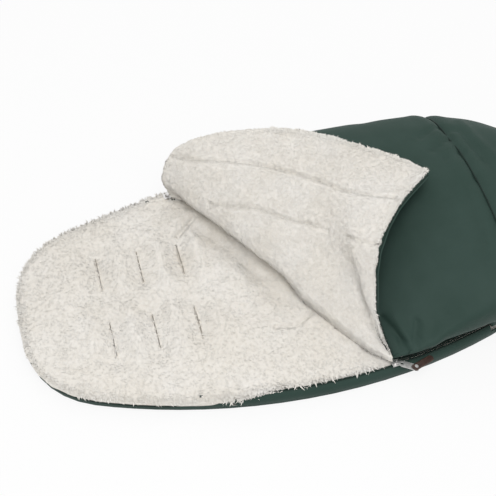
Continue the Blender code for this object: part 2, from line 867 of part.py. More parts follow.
def slider_profile():
    """Section of a slider: a top plate with two flanges, and a neck down the split."""
    rim = rim_height()
    wide = SLIDER_WIDTH / 2
    inside = wide - FLANGE_THICK
    neck = NECK_THICK / 2
    low = rim + 3 * GAP + TAPE_THICK
    under = rim + 2 * GAP + 2 * COIL_RADIUS
    top = under + PLATE_THICK
    half = [(wide, top), (wide, low), (inside, low), (inside, under), (neck, under), (neck, rim + 2 * GAP)]
    return half + [(-x, z) for x, z in reversed(half)], top


def pin_frame(x, yaw):
    """Frame on a slider's pin: its X points along the pull, its Y along the pin."""
    slide = zip_frame(x, -1, ZIP_INSET, slider_profile()[1] + PIN_HEIGHT)
    return slide @ Matrix.Rotation(math.pi / 2 + yaw, 4, "Z") @ Matrix.Rotation(PULL_DROOP, 4, "Y")


def build_slider(side, x, yaw, tab_yaw):
    name = side_name(side)
    centre = placed(WIDEST_X, -side * (EDGE_RADIUS - WIDTH / 2), 0.0)
    profile, top = slider_profile()
    slide = zip_frame(x, -1, ZIP_INSET, 0.0)
    upright = slide @ Matrix.Rotation(math.pi / 2, 4, "X")
    slider = plate(f"slider_{name}", [profile], SLIDER_LENGTH, upright, side, centre)
    pin = pin_frame(x, yaw)
    level = pin @ Matrix.Rotation(-PULL_DROOP, 4, "Y")
    height = PIN_HEIGHT + PIN_RADIUS + PLATE_THICK / 2
    reach = LUG_GAP / 2 + LUG_THICK
    for index, offset in enumerate((-reach + LUG_THICK / 2, reach - LUG_THICK / 2)):
        shift = Matrix.Translation((0, offset, PIN_RADIUS - height / 2 + PIN_RADIUS / 2))
        join(slider, block(f"slider_{name}_lug_{index}", (LUG_LENGTH, LUG_THICK, height), level @ shift,
                           side, centre))
    crosswise = pin @ Matrix.Rotation(math.pi / 2, 4, "X")
    join(slider, rod(f"slider_{name}_pin", PIN_RADIUS, 2 * reach - LUG_THICK, crosswise, side, centre))
    finish(slider, "metal")
    build_pull(side, name, pin, tab_yaw)


def oval(x, length, width, segments=8):
    return [(x + length / 2 * math.cos(2 * math.pi * k / (2 * segments)),
             width / 2 * math.sin(2 * math.pi * k / (2 * segments))) for k in range(2 * segments)]


def mirrored_place(frame, side):
    place = frame.translation.copy()
    if side > 0:
        place.y = -place.y
    return place


def build_pull(side, name, pin, tab_yaw):
    origin = mirrored_place(pin, side)
    start = PIN_RADIUS + 2 * GAP
    wide = PULL_WIDTH / 2
    neck = PULL_NECK_WIDTH / 2
    half = [(start, neck), (PULL_NECK, neck), (PULL_NOSE, wide), (PULL_LENGTH - PULL_CORNER, wide),
            (PULL_LENGTH, wide - PULL_CORNER)]
    outline = half + [(x, -y) for x, y in reversed(half)]
    rivet_x = PULL_LENGTH - RIVET_MARGIN
    hole = oval(rivet_x, 2 * (RIVET_RADIUS + GAP), 2 * (RIVET_RADIUS + GAP))
    eye = oval(EYE_X, EYE_LENGTH, EYE_WIDTH)
    pull = plate(f"pull_{name}", [outline, eye, hole], PULL_THICK, pin, side, origin)
    crosswise = pin @ Matrix.Rotation(math.pi / 2, 4, "X")
    barrel = rod(f"pull_{name}_barrel", BARREL_RADIUS, PULL_NECK_WIDTH, crosswise, side, origin)
    bore = rod(f"pull_{name}_bore", PIN_RADIUS + GAP, LUG_GAP, crosswise, side, origin)
    join(pull, barrel)
    cut(pull, bore)
    finish(pull, "metal")

    under = -PULL_THICK / 2 - GAP - RIVET_HEAD_THICK
    tab_mid = PULL_THICK / 2 + GAP + TAB_THICK / 2
    over = tab_mid + TAB_THICK / 2 + GAP + RIVET_HEAD_THICK
    joint = pin @ Matrix.Translation((rivet_x, 0, 0))
    place = mirrored_place(joint, side)
    middle = joint @ Matrix.Translation((0, 0, (over + under) / 2))
    rivet = rod(f"rivet_{name}", RIVET_RADIUS, over - under - RIVET_HEAD_THICK, middle, side, place)
    for end, z in (("under", under + RIVET_HEAD_THICK / 2), ("over", over - RIVET_HEAD_THICK / 2)):
        head = joint @ Matrix.Translation((0, 0, z))
        join(rivet, rod(f"rivet_{name}_{end}", RIVET_HEAD, RIVET_HEAD_THICK, head, side, place))
    finish(rivet, "metal")

    turned = joint @ Matrix.Rotation(tab_yaw, 4, "Z") @ Matrix.Translation((0, 0, tab_mid))
    radius = TAB_WIDTH / 2
    outline = [(-TAB_OVERLAP, radius - PULL_CORNER), (-TAB_OVERLAP, PULL_CORNER - radius),
               (PULL_CORNER - TAB_OVERLAP, -radius)]
    bend = TAB_LENGTH - TAB_OVERLAP - radius
    outline += [(bend + radius * math.sin(math.radians(a)), -radius * math.cos(math.radians(a)))
                for a in range(0, 181, 20)]
    outline.append((PULL_CORNER - TAB_OVERLAP, radius))
    hole = oval(0.0, 2 * (RIVET_RADIUS + GAP), 2 * (RIVET_RADIUS + GAP))
    tab = plate(f"leather_tab_{name}", [outline, hole], TAB_THICK, turned, side, place)
    finish(tab, "leather")


# Piping and grip patches


def build_piping():
    """Piping at the top of the shell round the head and the toes, and over the toe seam."""
    for name, low, high in (("head", 0.0, ZIP_START_X - STOP_LENGTH), ("toe", ZIP_END_X + STOP_LENGTH, LENGTH)):
        ring = [(x, y) for x, y in outline_ring(0.0) if low <= x <= high]
        if name == "head":
            ring.sort(key=lambda p: math.atan2(p[1], high - p[0]))
        else:
            ring.sort(key=lambda p: math.atan2(p[1], p[0] - low))
        middle = Vector((high if name == "head" else low, 0.0))
        points = []
        for index, (x, y) in enumerate(ring):
            before = Vector(ring[max(index - 1, 0)])
            after = Vector(ring[min(index + 1, len(ring) - 1)])
            run = (after - before).normalized()
            outward = Vector((run.y, -run.x))
            if outward.dot(Vector((x, y)) - middle) < 0:
                outward.negate()
            place = Vector((x, y)) + outward * (PIPING_RADIUS + 2 * GAP)
            points.append(placed(place.x, place.y, BACK_WALL_TOP - PIPING_RADIUS))
        tube(f"{name}_piping", points, PIPING_RADIUS, "tape")
    rows = len(ROW_SHARES) - 1
    proud = PIPING_RADIUS + 3 * GAP
    points = [cover_under(1.0, row_share(index / rows), -proud) for index in range(1 - rows, rows)]
    tube("toe_seam_piping", points, PIPING_RADIUS, "tape")


def build_patches():
    """Rubber grip patches that the back stands on, clear of the slots."""
    across = PATCH_WIDTH / 2 - PATCH_CORNER
    for name, place, share in zip(("head", "back", "seat", "foot"), PATCH_PLACE_SHARES, PATCH_LENGTH_SHARES):
        middle = place * LENGTH - CENTRE_X
        inner = share * LENGTH / 2 - PATCH_CORNER
        loop = []
        for turn, (sx, sy) in enumerate(((1, 1), (-1, 1), (-1, -1), (1, -1))):
            for step in range(5):
                angle = math.pi / 2 * (turn + step / 4)
                loop.append((middle + sx * inner + PATCH_CORNER * math.cos(angle),
                             sy * across + PATCH_CORNER * math.sin(angle)))
        finish(prism(f"grip_patch_{name}", [loop], 0.0, PATCH_THICK), "rubber")


def main():
    build_patches()
    build_back_shell()
    wadding = sheet("base_wadding", base_wadding_surface, *BACK_GRID, "wadding")
    lining = sheet("base_lining", base_lining_surface, *BACK_GRID, "fleece")
    build_slots([bpy.data.objects["base_shell"], wadding, lining])

    wadding_top = COVER_SHELL + LAYER_GAP
    fleece_top = wadding_top + COVER_WADDING + LAYER_GAP
    last = COVER_COLUMNS + TOE_COLUMNS
    cover_layer("cover_shell", 0.0, COVER_SHELL, 0, COVER_COLUMNS, "green")
    cover_layer("toe_panel_shell", 0.0, COVER_SHELL, COVER_COLUMNS, last, "green")
    cover_layer("cover_wadding", wadding_top, wadding_top + COVER_WADDING, 0, last, "wadding")
    cover_layer("cover_lining", fleece_top, fleece_top + COVER_LINING, 0, last, "fleece")

    wadding_depth = TURNED_LINING + GAP
    shell_depth = wadding_depth + TURNED_WADDING + GAP
    for name, face, size in (("fold", front_outer, FRONT_GRID), ("flap", flap_outer, FLAP_GRID)):
        turned_layer(f"{name}_lining", face, 0.0, TURNED_LINING, size, "fleece")
        turned_layer(f"{name}_wadding", face, wadding_depth, wadding_depth + TURNED_WADDING, size, "wadding")
        turned_layer(f"{name}_shell", face, shell_depth, shell_depth + TURNED_SHELL, size, "green")
    build_flap_trim()
    build_piping()
    build_zip(-1, NEAR_SLIDER_X)
    build_zip(1, FAR_SLIDER_X)
    build_slider(-1, NEAR_SLIDER_X, NEAR_PULL_YAW, NEAR_TAB_YAW)
    build_slider(1, FAR_SLIDER_X, FAR_PULL_YAW, FAR_TAB_YAW)


main()
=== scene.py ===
# %% [markdown]
# # Stroller footmuff, lying open at one corner
#
# The real object is a sewn bag for a stroller seat: a padded back with a short fleece pile and six
# harness slots, and an arched green cover on two long zips. Its near corner is unzipped and folded
# back over the cover. Every hard part comes from the measured frame as it is. Every soft part is
# made again here, because cloth, pile and folds are what a plain solid can't show.
# All lengths are metres.

# %% Load the frame and keep its box
import math

import bmesh
import bpy
import numpy as np
from mathutils import Matrix, Vector, kdtree, noise


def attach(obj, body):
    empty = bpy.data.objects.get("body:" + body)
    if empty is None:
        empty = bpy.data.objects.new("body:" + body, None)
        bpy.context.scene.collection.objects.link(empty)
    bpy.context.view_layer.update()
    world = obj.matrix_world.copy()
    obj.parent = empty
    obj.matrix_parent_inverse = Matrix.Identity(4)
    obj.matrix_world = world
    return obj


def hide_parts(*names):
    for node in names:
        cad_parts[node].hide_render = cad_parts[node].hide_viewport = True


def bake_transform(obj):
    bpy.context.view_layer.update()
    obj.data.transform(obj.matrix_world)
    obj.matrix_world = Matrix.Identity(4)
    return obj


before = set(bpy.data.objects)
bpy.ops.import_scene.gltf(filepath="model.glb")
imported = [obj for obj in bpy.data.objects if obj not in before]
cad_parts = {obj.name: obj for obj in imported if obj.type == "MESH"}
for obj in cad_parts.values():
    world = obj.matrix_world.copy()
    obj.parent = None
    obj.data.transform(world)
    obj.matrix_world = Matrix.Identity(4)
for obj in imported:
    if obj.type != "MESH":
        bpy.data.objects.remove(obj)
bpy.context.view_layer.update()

scene = bpy.context.scene

# %% [markdown]
# ## Camera, floor and light
#
# The camera stands where the photograph's did: its angle, roll and lens were found by fitting the
# harness slots and the outline of the back. A shop photograph is lit by large soft boxes, so two
# wide lamps and a pale world do the same here. The floor is a plain sheet that shows white to the
# camera but still takes the object's shadow, so the light on the object can stay at a plain level.

# %% Camera at the photograph's angle
PLACE = Vector((-0.4569, -0.8447, 1.2542))
TURN, TILT, ROLL = math.radians(-21.1), math.radians(51.6), math.radians(6.79)
SENSOR_MM, FOCAL_PIXELS, PICTURE_PIXELS = 36, 900, 496
back_way = Vector((math.sin(TURN) * math.cos(TILT), -math.cos(TURN) * math.cos(TILT),
                   math.sin(TILT)))
level = Vector((math.cos(TURN), math.sin(TURN), 0))
upright = back_way.cross(level)
right = level * math.cos(ROLL) + upright * math.sin(ROLL)
up = upright * math.cos(ROLL) - level * math.sin(ROLL)
axes = Matrix((right, up, back_way)).transposed()
camera = bpy.data.objects.new("camera", bpy.data.cameras.new("camera"))
scene.collection.objects.link(camera)
camera.matrix_world = Matrix.Translation(PLACE) @ axes.to_4x4()
camera.data.sensor_width = SENSOR_MM
camera.data.lens = FOCAL_PIXELS / PICTURE_PIXELS * SENSOR_MM
camera.data.clip_start = 0.01
scene.camera = camera
print("camera", tuple(round(v, 3) for v in PLACE), "lens", round(camera.data.lens, 1))

# %% Select a piece, apply a modifier, run an operator in edit mode
def only(obj):
    bpy.ops.object.select_all(action="DESELECT")
    obj.select_set(True)
    bpy.context.view_layer.objects.active = obj


def apply(obj, kind, **settings):
    """Add a modifier, set it and apply it."""
    only(obj)
    modifier = obj.modifiers.new(kind.lower(), kind)
    for key, value in settings.items():
        setattr(modifier, key, value)
    bpy.ops.object.modifier_apply(modifier=modifier.name)


def round_off(obj, levels=1):
    """Subdivide a piece, which rounds it."""
    apply(obj, "SUBSURF", levels=levels, render_levels=levels)


def in_edit_mode(obj, operator, **settings):
    """Run one edit mode operator on the whole piece."""
    only(obj)
    bpy.ops.object.mode_set(mode="EDIT")
    bpy.ops.mesh.select_all(action="SELECT")
    operator(**settings)
    bpy.ops.object.mode_set(mode="OBJECT")


# %% Make a piece, copy frame nodes, shade and finish
WELD = 0.00002
PAIR_ANGLE = math.radians(60)


def new_piece(name, mesh):
    obj = bpy.data.objects.new(name, mesh)
    scene.collection.objects.link(obj)
    return obj


def copy_of(name, *nodes):
    """Welded copy of frame nodes, with its triangles paired into quads."""
    bm = bmesh.new()
    for node in nodes:
        bm.from_mesh(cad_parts[node].data)
    bmesh.ops.remove_doubles(bm, verts=bm.verts[:], dist=WELD)
    mesh = bpy.data.meshes.new(name)
    bm.to_mesh(mesh)
    bm.free()
    if "custom_normal" in mesh.attributes:
        mesh.attributes.remove(mesh.attributes["custom_normal"])
    obj = new_piece(name, mesh)
    in_edit_mode(obj, bpy.ops.mesh.tris_convert_to_quads,
                 face_threshold=PAIR_ANGLE, shape_threshold=PAIR_ANGLE)
    return obj


def shade(obj, angle=60):
    only(obj)
    bpy.ops.object.shade_smooth_by_angle(angle=math.radians(angle))


def finish_piece(obj, material, body=None, stands_for=()):
    """Material and body of a finished piece; the frame nodes that it stands for are hidden."""
    obj.data.materials.clear()
    obj.data.materials.append(material)
    if body:
        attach(obj, body)
    if stands_for:
        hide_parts(*stands_for)
    print(obj.name, len(obj.data.polygons), "faces")


# %% Points of a mesh as rows of numbers
def vertex_rows(obj, field):
    out = np.empty(len(obj.data.vertices) * 3)
    obj.data.vertices.foreach_get(field, out)
    return out.reshape(-1, 3)


def points(obj):
    return vertex_rows(obj, "co")


def normals(obj):
    return vertex_rows(obj, "normal")


def set_points(obj, co):
    obj.data.vertices.foreach_set("co", np.asarray(co, float).ravel())
    obj.data.update()


def unit(rows, least=0.0):
    """Rows brought to length 1; a row shorter than the least length stays below 1."""
    return rows / np.maximum(np.linalg.norm(rows, axis=1), least)[:, None]


# %% Soft steps, hills and noise, which shape all the cloth
def rise(value, start, width):
    """From 0 to 1 with soft ends, while the value goes from the start over the width."""
    share = np.clip((value - start) / width, 0.0, 1.0)
    return share * share * (3 - 2 * share)


def fall(value, start, width):
    """From 1 to 0, as rise does from 0 to 1."""
    return 1 - rise(value, start, width)


def hill(distance, width):
    """1 at no distance, and soft down to 0 on both sides."""
    return np.exp(-(distance / width) ** 2)


def cloud(co, size, seed):
    """Soft noise from -1 to 1 at each point, with lumps of one size."""
    shift = Vector((seed, seed * 0.7, seed * 1.3))
    return np.array([noise.noise(Vector(p) / size + shift) for p in co.tolist()])


# %% Helpers for node trees
WHITE = (1, 1, 1, 1)


def node_material(name):
    material = bpy.data.materials.new(name)
    material.use_nodes = True
    tree = material.node_tree
    return material, tree, tree.nodes["Principled BSDF"]


def link(tree, source, socket, target, name):
    tree.links.new(source.outputs[socket], target.inputs[name])


def set_inputs(node, values):
    for name, value in values.items():
        node.inputs[name].default_value = value


def math_node(tree, operation, *terms):
    """Math node whose terms are sockets, given as node and output, or plain numbers."""
    node = tree.nodes.new("ShaderNodeMath")
    node.operation = operation
    for index, term in enumerate(terms):
        if isinstance(term, tuple):
            link(tree, *term, node, index)
        else:
            node.inputs[index].default_value = term
    return node


# %% Let a backdrop show white without lighting the object
def camera_share(tree, share):
    """Share for what the camera, a reflection or glass sees of a white backdrop."""
    path = tree.nodes.new("ShaderNodeLightPath")
    seen = math_node(tree, "MAXIMUM", (path, "Is Camera Ray"), (path, "Is Glossy Ray"))
    seen = math_node(tree, "MAXIMUM", (seen, 0), (path, "Is Transmission Ray"))
    return math_node(tree, "MULTIPLY", (seen, 0), share)


def mix_shaders(tree, share, first, second, end):
    """Mix two shaders by a share, into the tree's output."""
    mix = tree.nodes.new("ShaderNodeMixShader")
    link(tree, share, 0, mix, "Fac")
    link(tree, first, 0, mix, 1)
    link(tree, second, 0, mix, 2)
    link(tree, mix, 0, tree.nodes[end], "Surface")


# %% Floor that shows white and keeps the shadow
FLOOR_SIZE, FLOOR_DROP, FLOOR_GLOW = 12, 0.0005, 0.86
bpy.ops.mesh.primitive_plane_add(size=FLOOR_SIZE, location=(0, 0, -FLOOR_DROP))
floor = bpy.context.object
floor.name = "floor"
floor_paper, tree, shader = node_material("floor_paper")
set_inputs(shader, {"Base Color": (0.92, 0.92, 0.92, 1), "Roughness": 0.9})
glow = tree.nodes.new("ShaderNodeEmission")
set_inputs(glow, {"Color": WHITE})
mix_shaders(tree, camera_share(tree, FLOOR_GLOW), shader, glow, "Material Output")
floor.data.materials.append(floor_paper)

# %% Pale world and two soft lamps
WORLD_LIGHT, WORLD_SEEN = 0.61, 1.0
world = bpy.data.worlds.new("studio")
scene.world = world
world.use_nodes = True
tree = world.node_tree
around = tree.nodes["Background"]
set_inputs(around, {"Color": WHITE, "Strength": WORLD_LIGHT})
seen = tree.nodes.new("ShaderNodeBackground")
set_inputs(seen, {"Color": WHITE, "Strength": WORLD_SEEN})
mix_shaders(tree, camera_share(tree, 1.0), around, seen, "World Output")


def soft_lamp(name, place, target, size, watts):
    lamp = bpy.data.objects.new(name, bpy.data.lights.new(name, "AREA"))
    scene.collection.objects.link(lamp)
    lamp.data.shape = "DISK"
    lamp.data.size = size
    lamp.data.energy = watts
    lamp.location = place
    lamp.rotation_euler = (Vector(target) - Vector(place)).to_track_quat("-Z", "Y").to_euler()


soft_lamp("key_box", (-0.45, -0.75, 2.1), (0.02, 0, 0.05), size=1.4, watts=19.9)
soft_lamp("rear_box", (0.5, 1.5, 1.7), (0.05, 0, 0.05), size=1.2, watts=4)
scene.view_settings.view_transform = "Standard"
print("stage is set")

# %% [markdown]
# ## Materials
#
# The lining is a cream pile, nearly matt, with clumps a few millimetres wide. The shell is a dark
# green, tightly woven polyester with a slight sheen. Both need a change of tone at more than one
# size, so each mixes a fine and a broad noise, and a bump for fibres or threads that are too small
# to model. All patterns read Object coordinates, so they stay put on the piece from every side.

# %% Patterns, tones and bumps
# Colour sockets of a Mix node, which share their names with its number sockets.
MIX_FIRST, MIX_SECOND, MIX_RESULT = 6, 7, 2


def pattern(tree, kind, scale, **settings):
    """Texture node on Object coordinates."""
    places = tree.nodes.new("ShaderNodeTexCoord")
    texture = tree.nodes.new(kind)
    set_inputs(texture, {"Scale": scale, **settings})
    link(tree, places, "Object", texture, "Vector")
    return texture


def two_tones(tree, texture, socket, dark, light, low, high):
    """Ramp from a dark to a light tone, between two values of a texture."""
    ramp = tree.nodes.new("ShaderNodeValToRGB")
    ramp.color_ramp.elements[0].position = low
    ramp.color_ramp.elements[1].position = high
    ramp.color_ramp.elements[0].color = (*dark, 1)
    ramp.color_ramp.elements[1].color = (*light, 1)
    link(tree, texture, socket, ramp, "Fac")
    return ramp


def multiplied(tree, first, second, shader):
    """Base colour from one tone times another."""
    mixer = tree.nodes.new("ShaderNodeMix")
    mixer.data_type = "RGBA"
    mixer.blend_type = "MULTIPLY"
    mixer.inputs["Factor"].default_value = 1.0
    link(tree, first, 0, mixer, MIX_FIRST)
    link(tree, second, 0, mixer, MIX_SECOND)
    link(tree, mixer, MIX_RESULT, shader, "Base Color")


def bump(tree, shader, texture, socket, depth, strength):
    node = tree.nodes.new("ShaderNodeBump")
    set_inputs(node, {"Strength": strength, "Distance": depth})
    link(tree, texture, socket, node, "Height")
    link(tree, node, "Normal", shader, "Normal")


# %% Fleece and woven cloth
def pile_material(name, dark, light, fibre_depth):
    """Pile: clumps, fibres and broad patches, nearly without a shine."""
    material, tree, shader = node_material(name)
    clumps = pattern(tree, "ShaderNodeTexNoise", 210, Detail=4.0, Roughness=0.62)
    fibres = pattern(tree, "ShaderNodeTexNoise", 900, Detail=3.0, Roughness=0.7)
    patches = pattern(tree, "ShaderNodeTexNoise", 14, Detail=2.0)
    tone = two_tones(tree, clumps, "Fac", dark, light, 0.28, 0.62)
    broad = two_tones(tree, patches, "Fac", (0.965, 0.955, 0.935), (1.0, 1.0, 1.0), 0.35, 0.65)
    multiplied(tree, tone, broad, shader)
    set_inputs(shader, {"Roughness": 0.96, "Specular IOR Level": 0.1,
                        "Sheen Weight": 0.05, "Sheen Roughness": 0.6})
    bump(tree, shader, fibres, "Fac", fibre_depth, 0.7)
    return material


def woven_material(name, dark, light, rough, thread=0.00045):
    """Plain weave: two crossing waves for the threads, and a broad noise for the tone."""
    material, tree, shader = node_material(name)
    patches = pattern(tree, "ShaderNodeTexNoise", 9, Detail=5.0, Roughness=0.6)
    tone = two_tones(tree, patches, "Fac", dark, light, 0.35, 0.68)
    warp = pattern(tree, "ShaderNodeTexWave", 1 / thread / 2 / math.pi, Distortion=0.4)
    weft = pattern(tree, "ShaderNodeTexWave", 1 / thread / 2 / math.pi, Distortion=0.4)
    weft.bands_direction = "Y"
    both = math_node(tree, "MAXIMUM", (warp, "Fac"), (weft, "Fac"))
    threads = two_tones(tree, both, 0, (0.86, 0.86, 0.86), (1.0, 1.0, 1.0), 0.2, 0.9)
    multiplied(tree, tone, threads, shader)
    set_inputs(shader, {"Roughness": rough, "Specular IOR Level": 0.16,
                        "Sheen Weight": 0.015, "Sheen Roughness": 0.4})
    bump(tree, shader, both, 0, 0.00008, 0.5)
    return material


FLEECE = pile_material("cream_pile", (0.81, 0.772, 0.71), (0.88, 0.850, 0.80), 0.0005)
TUFT = pile_material("cream_tufts", (0.84, 0.808, 0.752), (0.89, 0.866, 0.82), 0.0002)
FILLING = pile_material("white_filling", (0.72, 0.72, 0.70), (0.86, 0.86, 0.84), 0.001)
GREEN = woven_material("green_weave", (0.029, 0.057, 0.046), (0.037, 0.068, 0.057), 0.62)
TAPE = woven_material("zip_tape_weave", (0.012, 0.024, 0.019), (0.022, 0.040, 0.033), 0.65,
                      thread=0.0006)
print("cloths:", [cloth.name for cloth in (FLEECE, TUFT, FILLING, GREEN, TAPE)])


# %% Metal, leather and rubber
def metal_material(name):
    """Satin metal, with marks that change its tone and how rough it is."""
    material, tree, shader = node_material(name)
    grain = pattern(tree, "ShaderNodeTexNoise", 1400, Detail=2.0)
    marks = pattern(tree, "ShaderNodeTexNoise", 160, Detail=4.0)
    tone = two_tones(tree, marks, "Fac", (0.56, 0.55, 0.54), (0.70, 0.69, 0.68), 0.35, 0.65)
    link(tree, tone, 0, shader, "Base Color")
    rough = tree.nodes.new("ShaderNodeMapRange")
    set_inputs(rough, {"To Min": 0.34, "To Max": 0.50})
    link(tree, marks, "Fac", rough, "Value")
    link(tree, rough, 0, shader, "Roughness")
    set_inputs(shader, {"Metallic": 1.0})
    bump(tree, shader, grain, "Fac", 0.00003, 0.4)
    return material


def leather_material(name, dark, light):
    """Small round grain with worn patches; rubber, paint and thread take it in other tones."""
    material, tree, shader = node_material(name)
    grain = pattern(tree, "ShaderNodeTexVoronoi", 1500)
    wear = pattern(tree, "ShaderNodeTexNoise", 120, Detail=5.0)
    tone = two_tones(tree, wear, "Fac", dark, light, 0.35, 0.7)
    link(tree, tone, 0, shader, "Base Color")
    set_inputs(shader, {"Roughness": 0.5})
    bump(tree, shader, grain, "Distance", 0.00012, 0.5)
    return material


METAL = metal_material("satin_metal")
LEATHER = leather_material("brown_leather", (0.035, 0.016, 0.011), (0.062, 0.030, 0.021))
THREAD = leather_material("brown_thread", (0.10, 0.055, 0.035), (0.16, 0.09, 0.06))
RUBBER = leather_material("grip_rubber", (0.022, 0.022, 0.024), (0.036, 0.036, 0.038))
PAINTED = leather_material("painted_stop", (0.016, 0.030, 0.025), (0.024, 0.042, 0.036))
HARD_PARTS = {("slider_", "pull_", "rivet_"): METAL, ("zip_stop", "zip_box"): PAINTED,
              ("grip_patch",): RUBBER}
for starts, material in HARD_PARTS.items():
    names = [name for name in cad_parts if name.startswith(starts)]
    for name in names:
        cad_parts[name].data.materials.clear()
        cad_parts[name].data.materials.append(material)
    print(material.name, "on", len(names), "nodes")

# %% [markdown]
# ## The back's outline
#
# The pattern piece for the back is a long oval: two shallow side arcs, a blunt round at the head
# and a longer one at the toes. The same curve places the shell, the fleece's rim and the zips, so
# it is written once, measured from the head tip, and everything asks it how wide the back is.

# %% Outline of the back, and the harness slots
LENGTH, WIDTH = 1.010, 0.462
MIDDLE = LENGTH / 2
SIDE_RADIUS, WIDEST = LENGTH * 1.0396, LENGTH * 0.4554
HEAD_ROUND, TOE_ROUND = 0.110, 0.200
HEAD_POWER, TOE_POWER = 3.0, 2.4
MIDDLE_LINE = (-0.3, 0.25)
SLOT_X, SLOT_Y, SLOT_LONG = (0.138, 0.208, 0.278), 0.0665, 0.067
CROTCH_X, CROTCH_LONG = 0.470, 0.058


def end_share(distance, reach, power):
    """Share of the full width that a rounded end leaves at a distance from its tip."""
    left = 1 - np.clip(distance / reach, 0, 1)
    return np.maximum(1 - left ** power, 0) ** (1 / power)


def half_width(x):
    """Half width of the back at x from the head tip."""
    rounded = np.sqrt(np.maximum(SIDE_RADIUS ** 2 - (x - WIDEST) ** 2, 0))
    arc = rounded - SIDE_RADIUS + WIDTH / 2
    head = end_share(x, HEAD_ROUND, HEAD_POWER)
    return arc * head * end_share(LENGTH - x, TOE_ROUND, TOE_POWER)


def rim_distance(co):
    """How far inside the outline each point lies."""
    x = co[:, 0] + MIDDLE
    return np.minimum(half_width(x) - np.abs(co[:, 1]), np.minimum(x, LENGTH - x))


def outwards(co):
    """Level direction from the back's middle line to each point."""
    middle = np.stack([np.clip(co[:, 0], *MIDDLE_LINE), np.zeros(len(co))], 1)
    return unit(co[:, :2] - middle, 0.01)


SLOTS = [(x - MIDDLE, side * SLOT_Y, SLOT_LONG) for x in SLOT_X for side in (-1, 1)]
SLOTS.append((CROTCH_X - MIDDLE, 0.0, CROTCH_LONG))
print("slots at", [(round(x, 3), y) for x, y, _ in SLOTS])

# %% [markdown]
# ## Tufts of the pile
#
# The pile is a knitted fleece whose fibres curl into little locks. A bump alone gives it no
# outline, and real hair is neither exported nor printed, so the locks are modelled: thousands of
# small bent cones, rooted in the fleece and leaning each its own way. One function sows them on
# any piece, and takes a weight that says where they grow, how long they are and how they lean.

# %% Form of one tuft: two rings of three points, and a tip
TUFT_LONG, TUFT_WIDE, TUFT_LEAN, TUFT_ROOT = 0.0046, 0.0032, 1.3, 0.0012
DRIFT_PULL = 2.6
TUFT_POINTS = 7
TUFT_SIDES = np.array([(0, 1, 4, 3), (1, 2, 5, 4), (2, 0, 3, 5)])
TUFT_ENDS = np.array([(3, 4, 6), (4, 5, 6), (5, 3, 6), (2, 1, 0)])


def tuft_mesh(name, rings, tip, lit):
    """Mesh of all tufts, lit mostly like the fleece that they grow on."""
    count = len(tip)
    verts = np.stack(rings + [tip], 1).reshape(-1, 3)
    first = TUFT_POINTS * np.arange(count)[:, None, None]
    sides = (TUFT_SIDES[None] + first).reshape(-1, 4)
    ends = (TUFT_ENDS[None] + first).reshape(-1, 3)
    coat = bpy.data.meshes.new(name)
    coat.from_pydata(verts.tolist(), [], sides.tolist() + ends.tolist())
    coat.shade_smooth()
    coat.normals_split_custom_set_from_vertices(np.repeat(lit, TUFT_POINTS, axis=0).tolist())
    return coat


# %% Sow tufts on a fleece piece
def sow_tufts(name, source, count, weight, seed):
    """Tufts on the faces of a piece: weight gives a share, a length factor and a way to lean."""
    rng = np.random.default_rng(seed)
    mesh = source.data
    mesh.calc_loop_triangles()
    tris = np.empty(len(mesh.loop_triangles) * 3, int)
    mesh.loop_triangles.foreach_get("vertices", tris)
    tris = tris.reshape(-1, 3)
    co, soft = points(source), normals(source)
    a, b, c = co[tris[:, 0]], co[tris[:, 1]], co[tris[:, 2]]
    cross = np.cross(b - a, c - a)
    facing = unit(cross, 1e-12)
    share, long, drift = weight((a + b + c) / 3, facing)
    # Faces are picked by area and share, and then a spot on each.
    chance = np.cumsum(np.linalg.norm(cross, axis=1) * share)
    pick = np.searchsorted(chance / chance[-1], rng.random(count))
    pick = np.minimum(pick, len(chance) - 1)
    u, v = rng.random(count), rng.random(count)
    flip = u + v > 1
    u[flip], v[flip] = 1 - u[flip], 1 - v[flip]
    root = a[pick] + (b - a)[pick] * u[:, None] + (c - a)[pick] * v[:, None]
    # A tuft leans along the surface, its own way plus the drift.
    up_way = facing[pick]
    scatter = rng.normal(size=(count, 3)) + DRIFT_PULL * drift[pick]
    scatter -= up_way * (scatter * up_way).sum(1)[:, None]
    side = unit(scatter, 1e-9)
    other = np.cross(up_way, side)
    # It rises to its middle, and from there bends over and curls sideways to its tip.
    tall = TUFT_LONG * long[pick] * rng.uniform(0.6, 1.35, count)
    wide = TUFT_WIDE * rng.uniform(0.7, 1.3, count) / 2
    bend = TUFT_LEAN * rng.uniform(0.3, 1.2, count)
    curl = rng.uniform(-0.9, 0.9, count)
    mid = root + up_way * (tall * 0.50)[:, None] + side * (tall * 0.45 * bend)[:, None]
    way = side * np.cos(curl)[:, None] + other * np.sin(curl)[:, None]
    tip = mid + up_way * (tall * 0.18)[:, None] + way * (tall * 0.60 * bend)[:, None]
    rings = []
    for centre, radius in ((root - up_way * TUFT_ROOT, wide), (mid, wide * 0.8)):
        for step in range(3):
            angle = math.tau * step / 3
            spoke = side * math.cos(angle) + other * math.sin(angle)
            rings.append(centre + spoke * radius[:, None])
    lit = unit(soft[tris[pick, 0]] * 0.75 + side * 0.12)
    return new_piece(name, tuft_mesh(name, rings, tip, lit))


# %% [markdown]
# ## The padded back
#
# On the real object the fleece and the wadding behind it are sewn together at the rim and at each
# slot, and swell between. So one pad is made of both: copies of the two frame solids are welded
# into one body by a voxel remesh, the slots are drawn almost shut like sewn lips, and the top is
# pressed and swollen where the photograph shows hollows and creases.

# %% Swell a closed piece with air
SWELL_FRAMES = 20


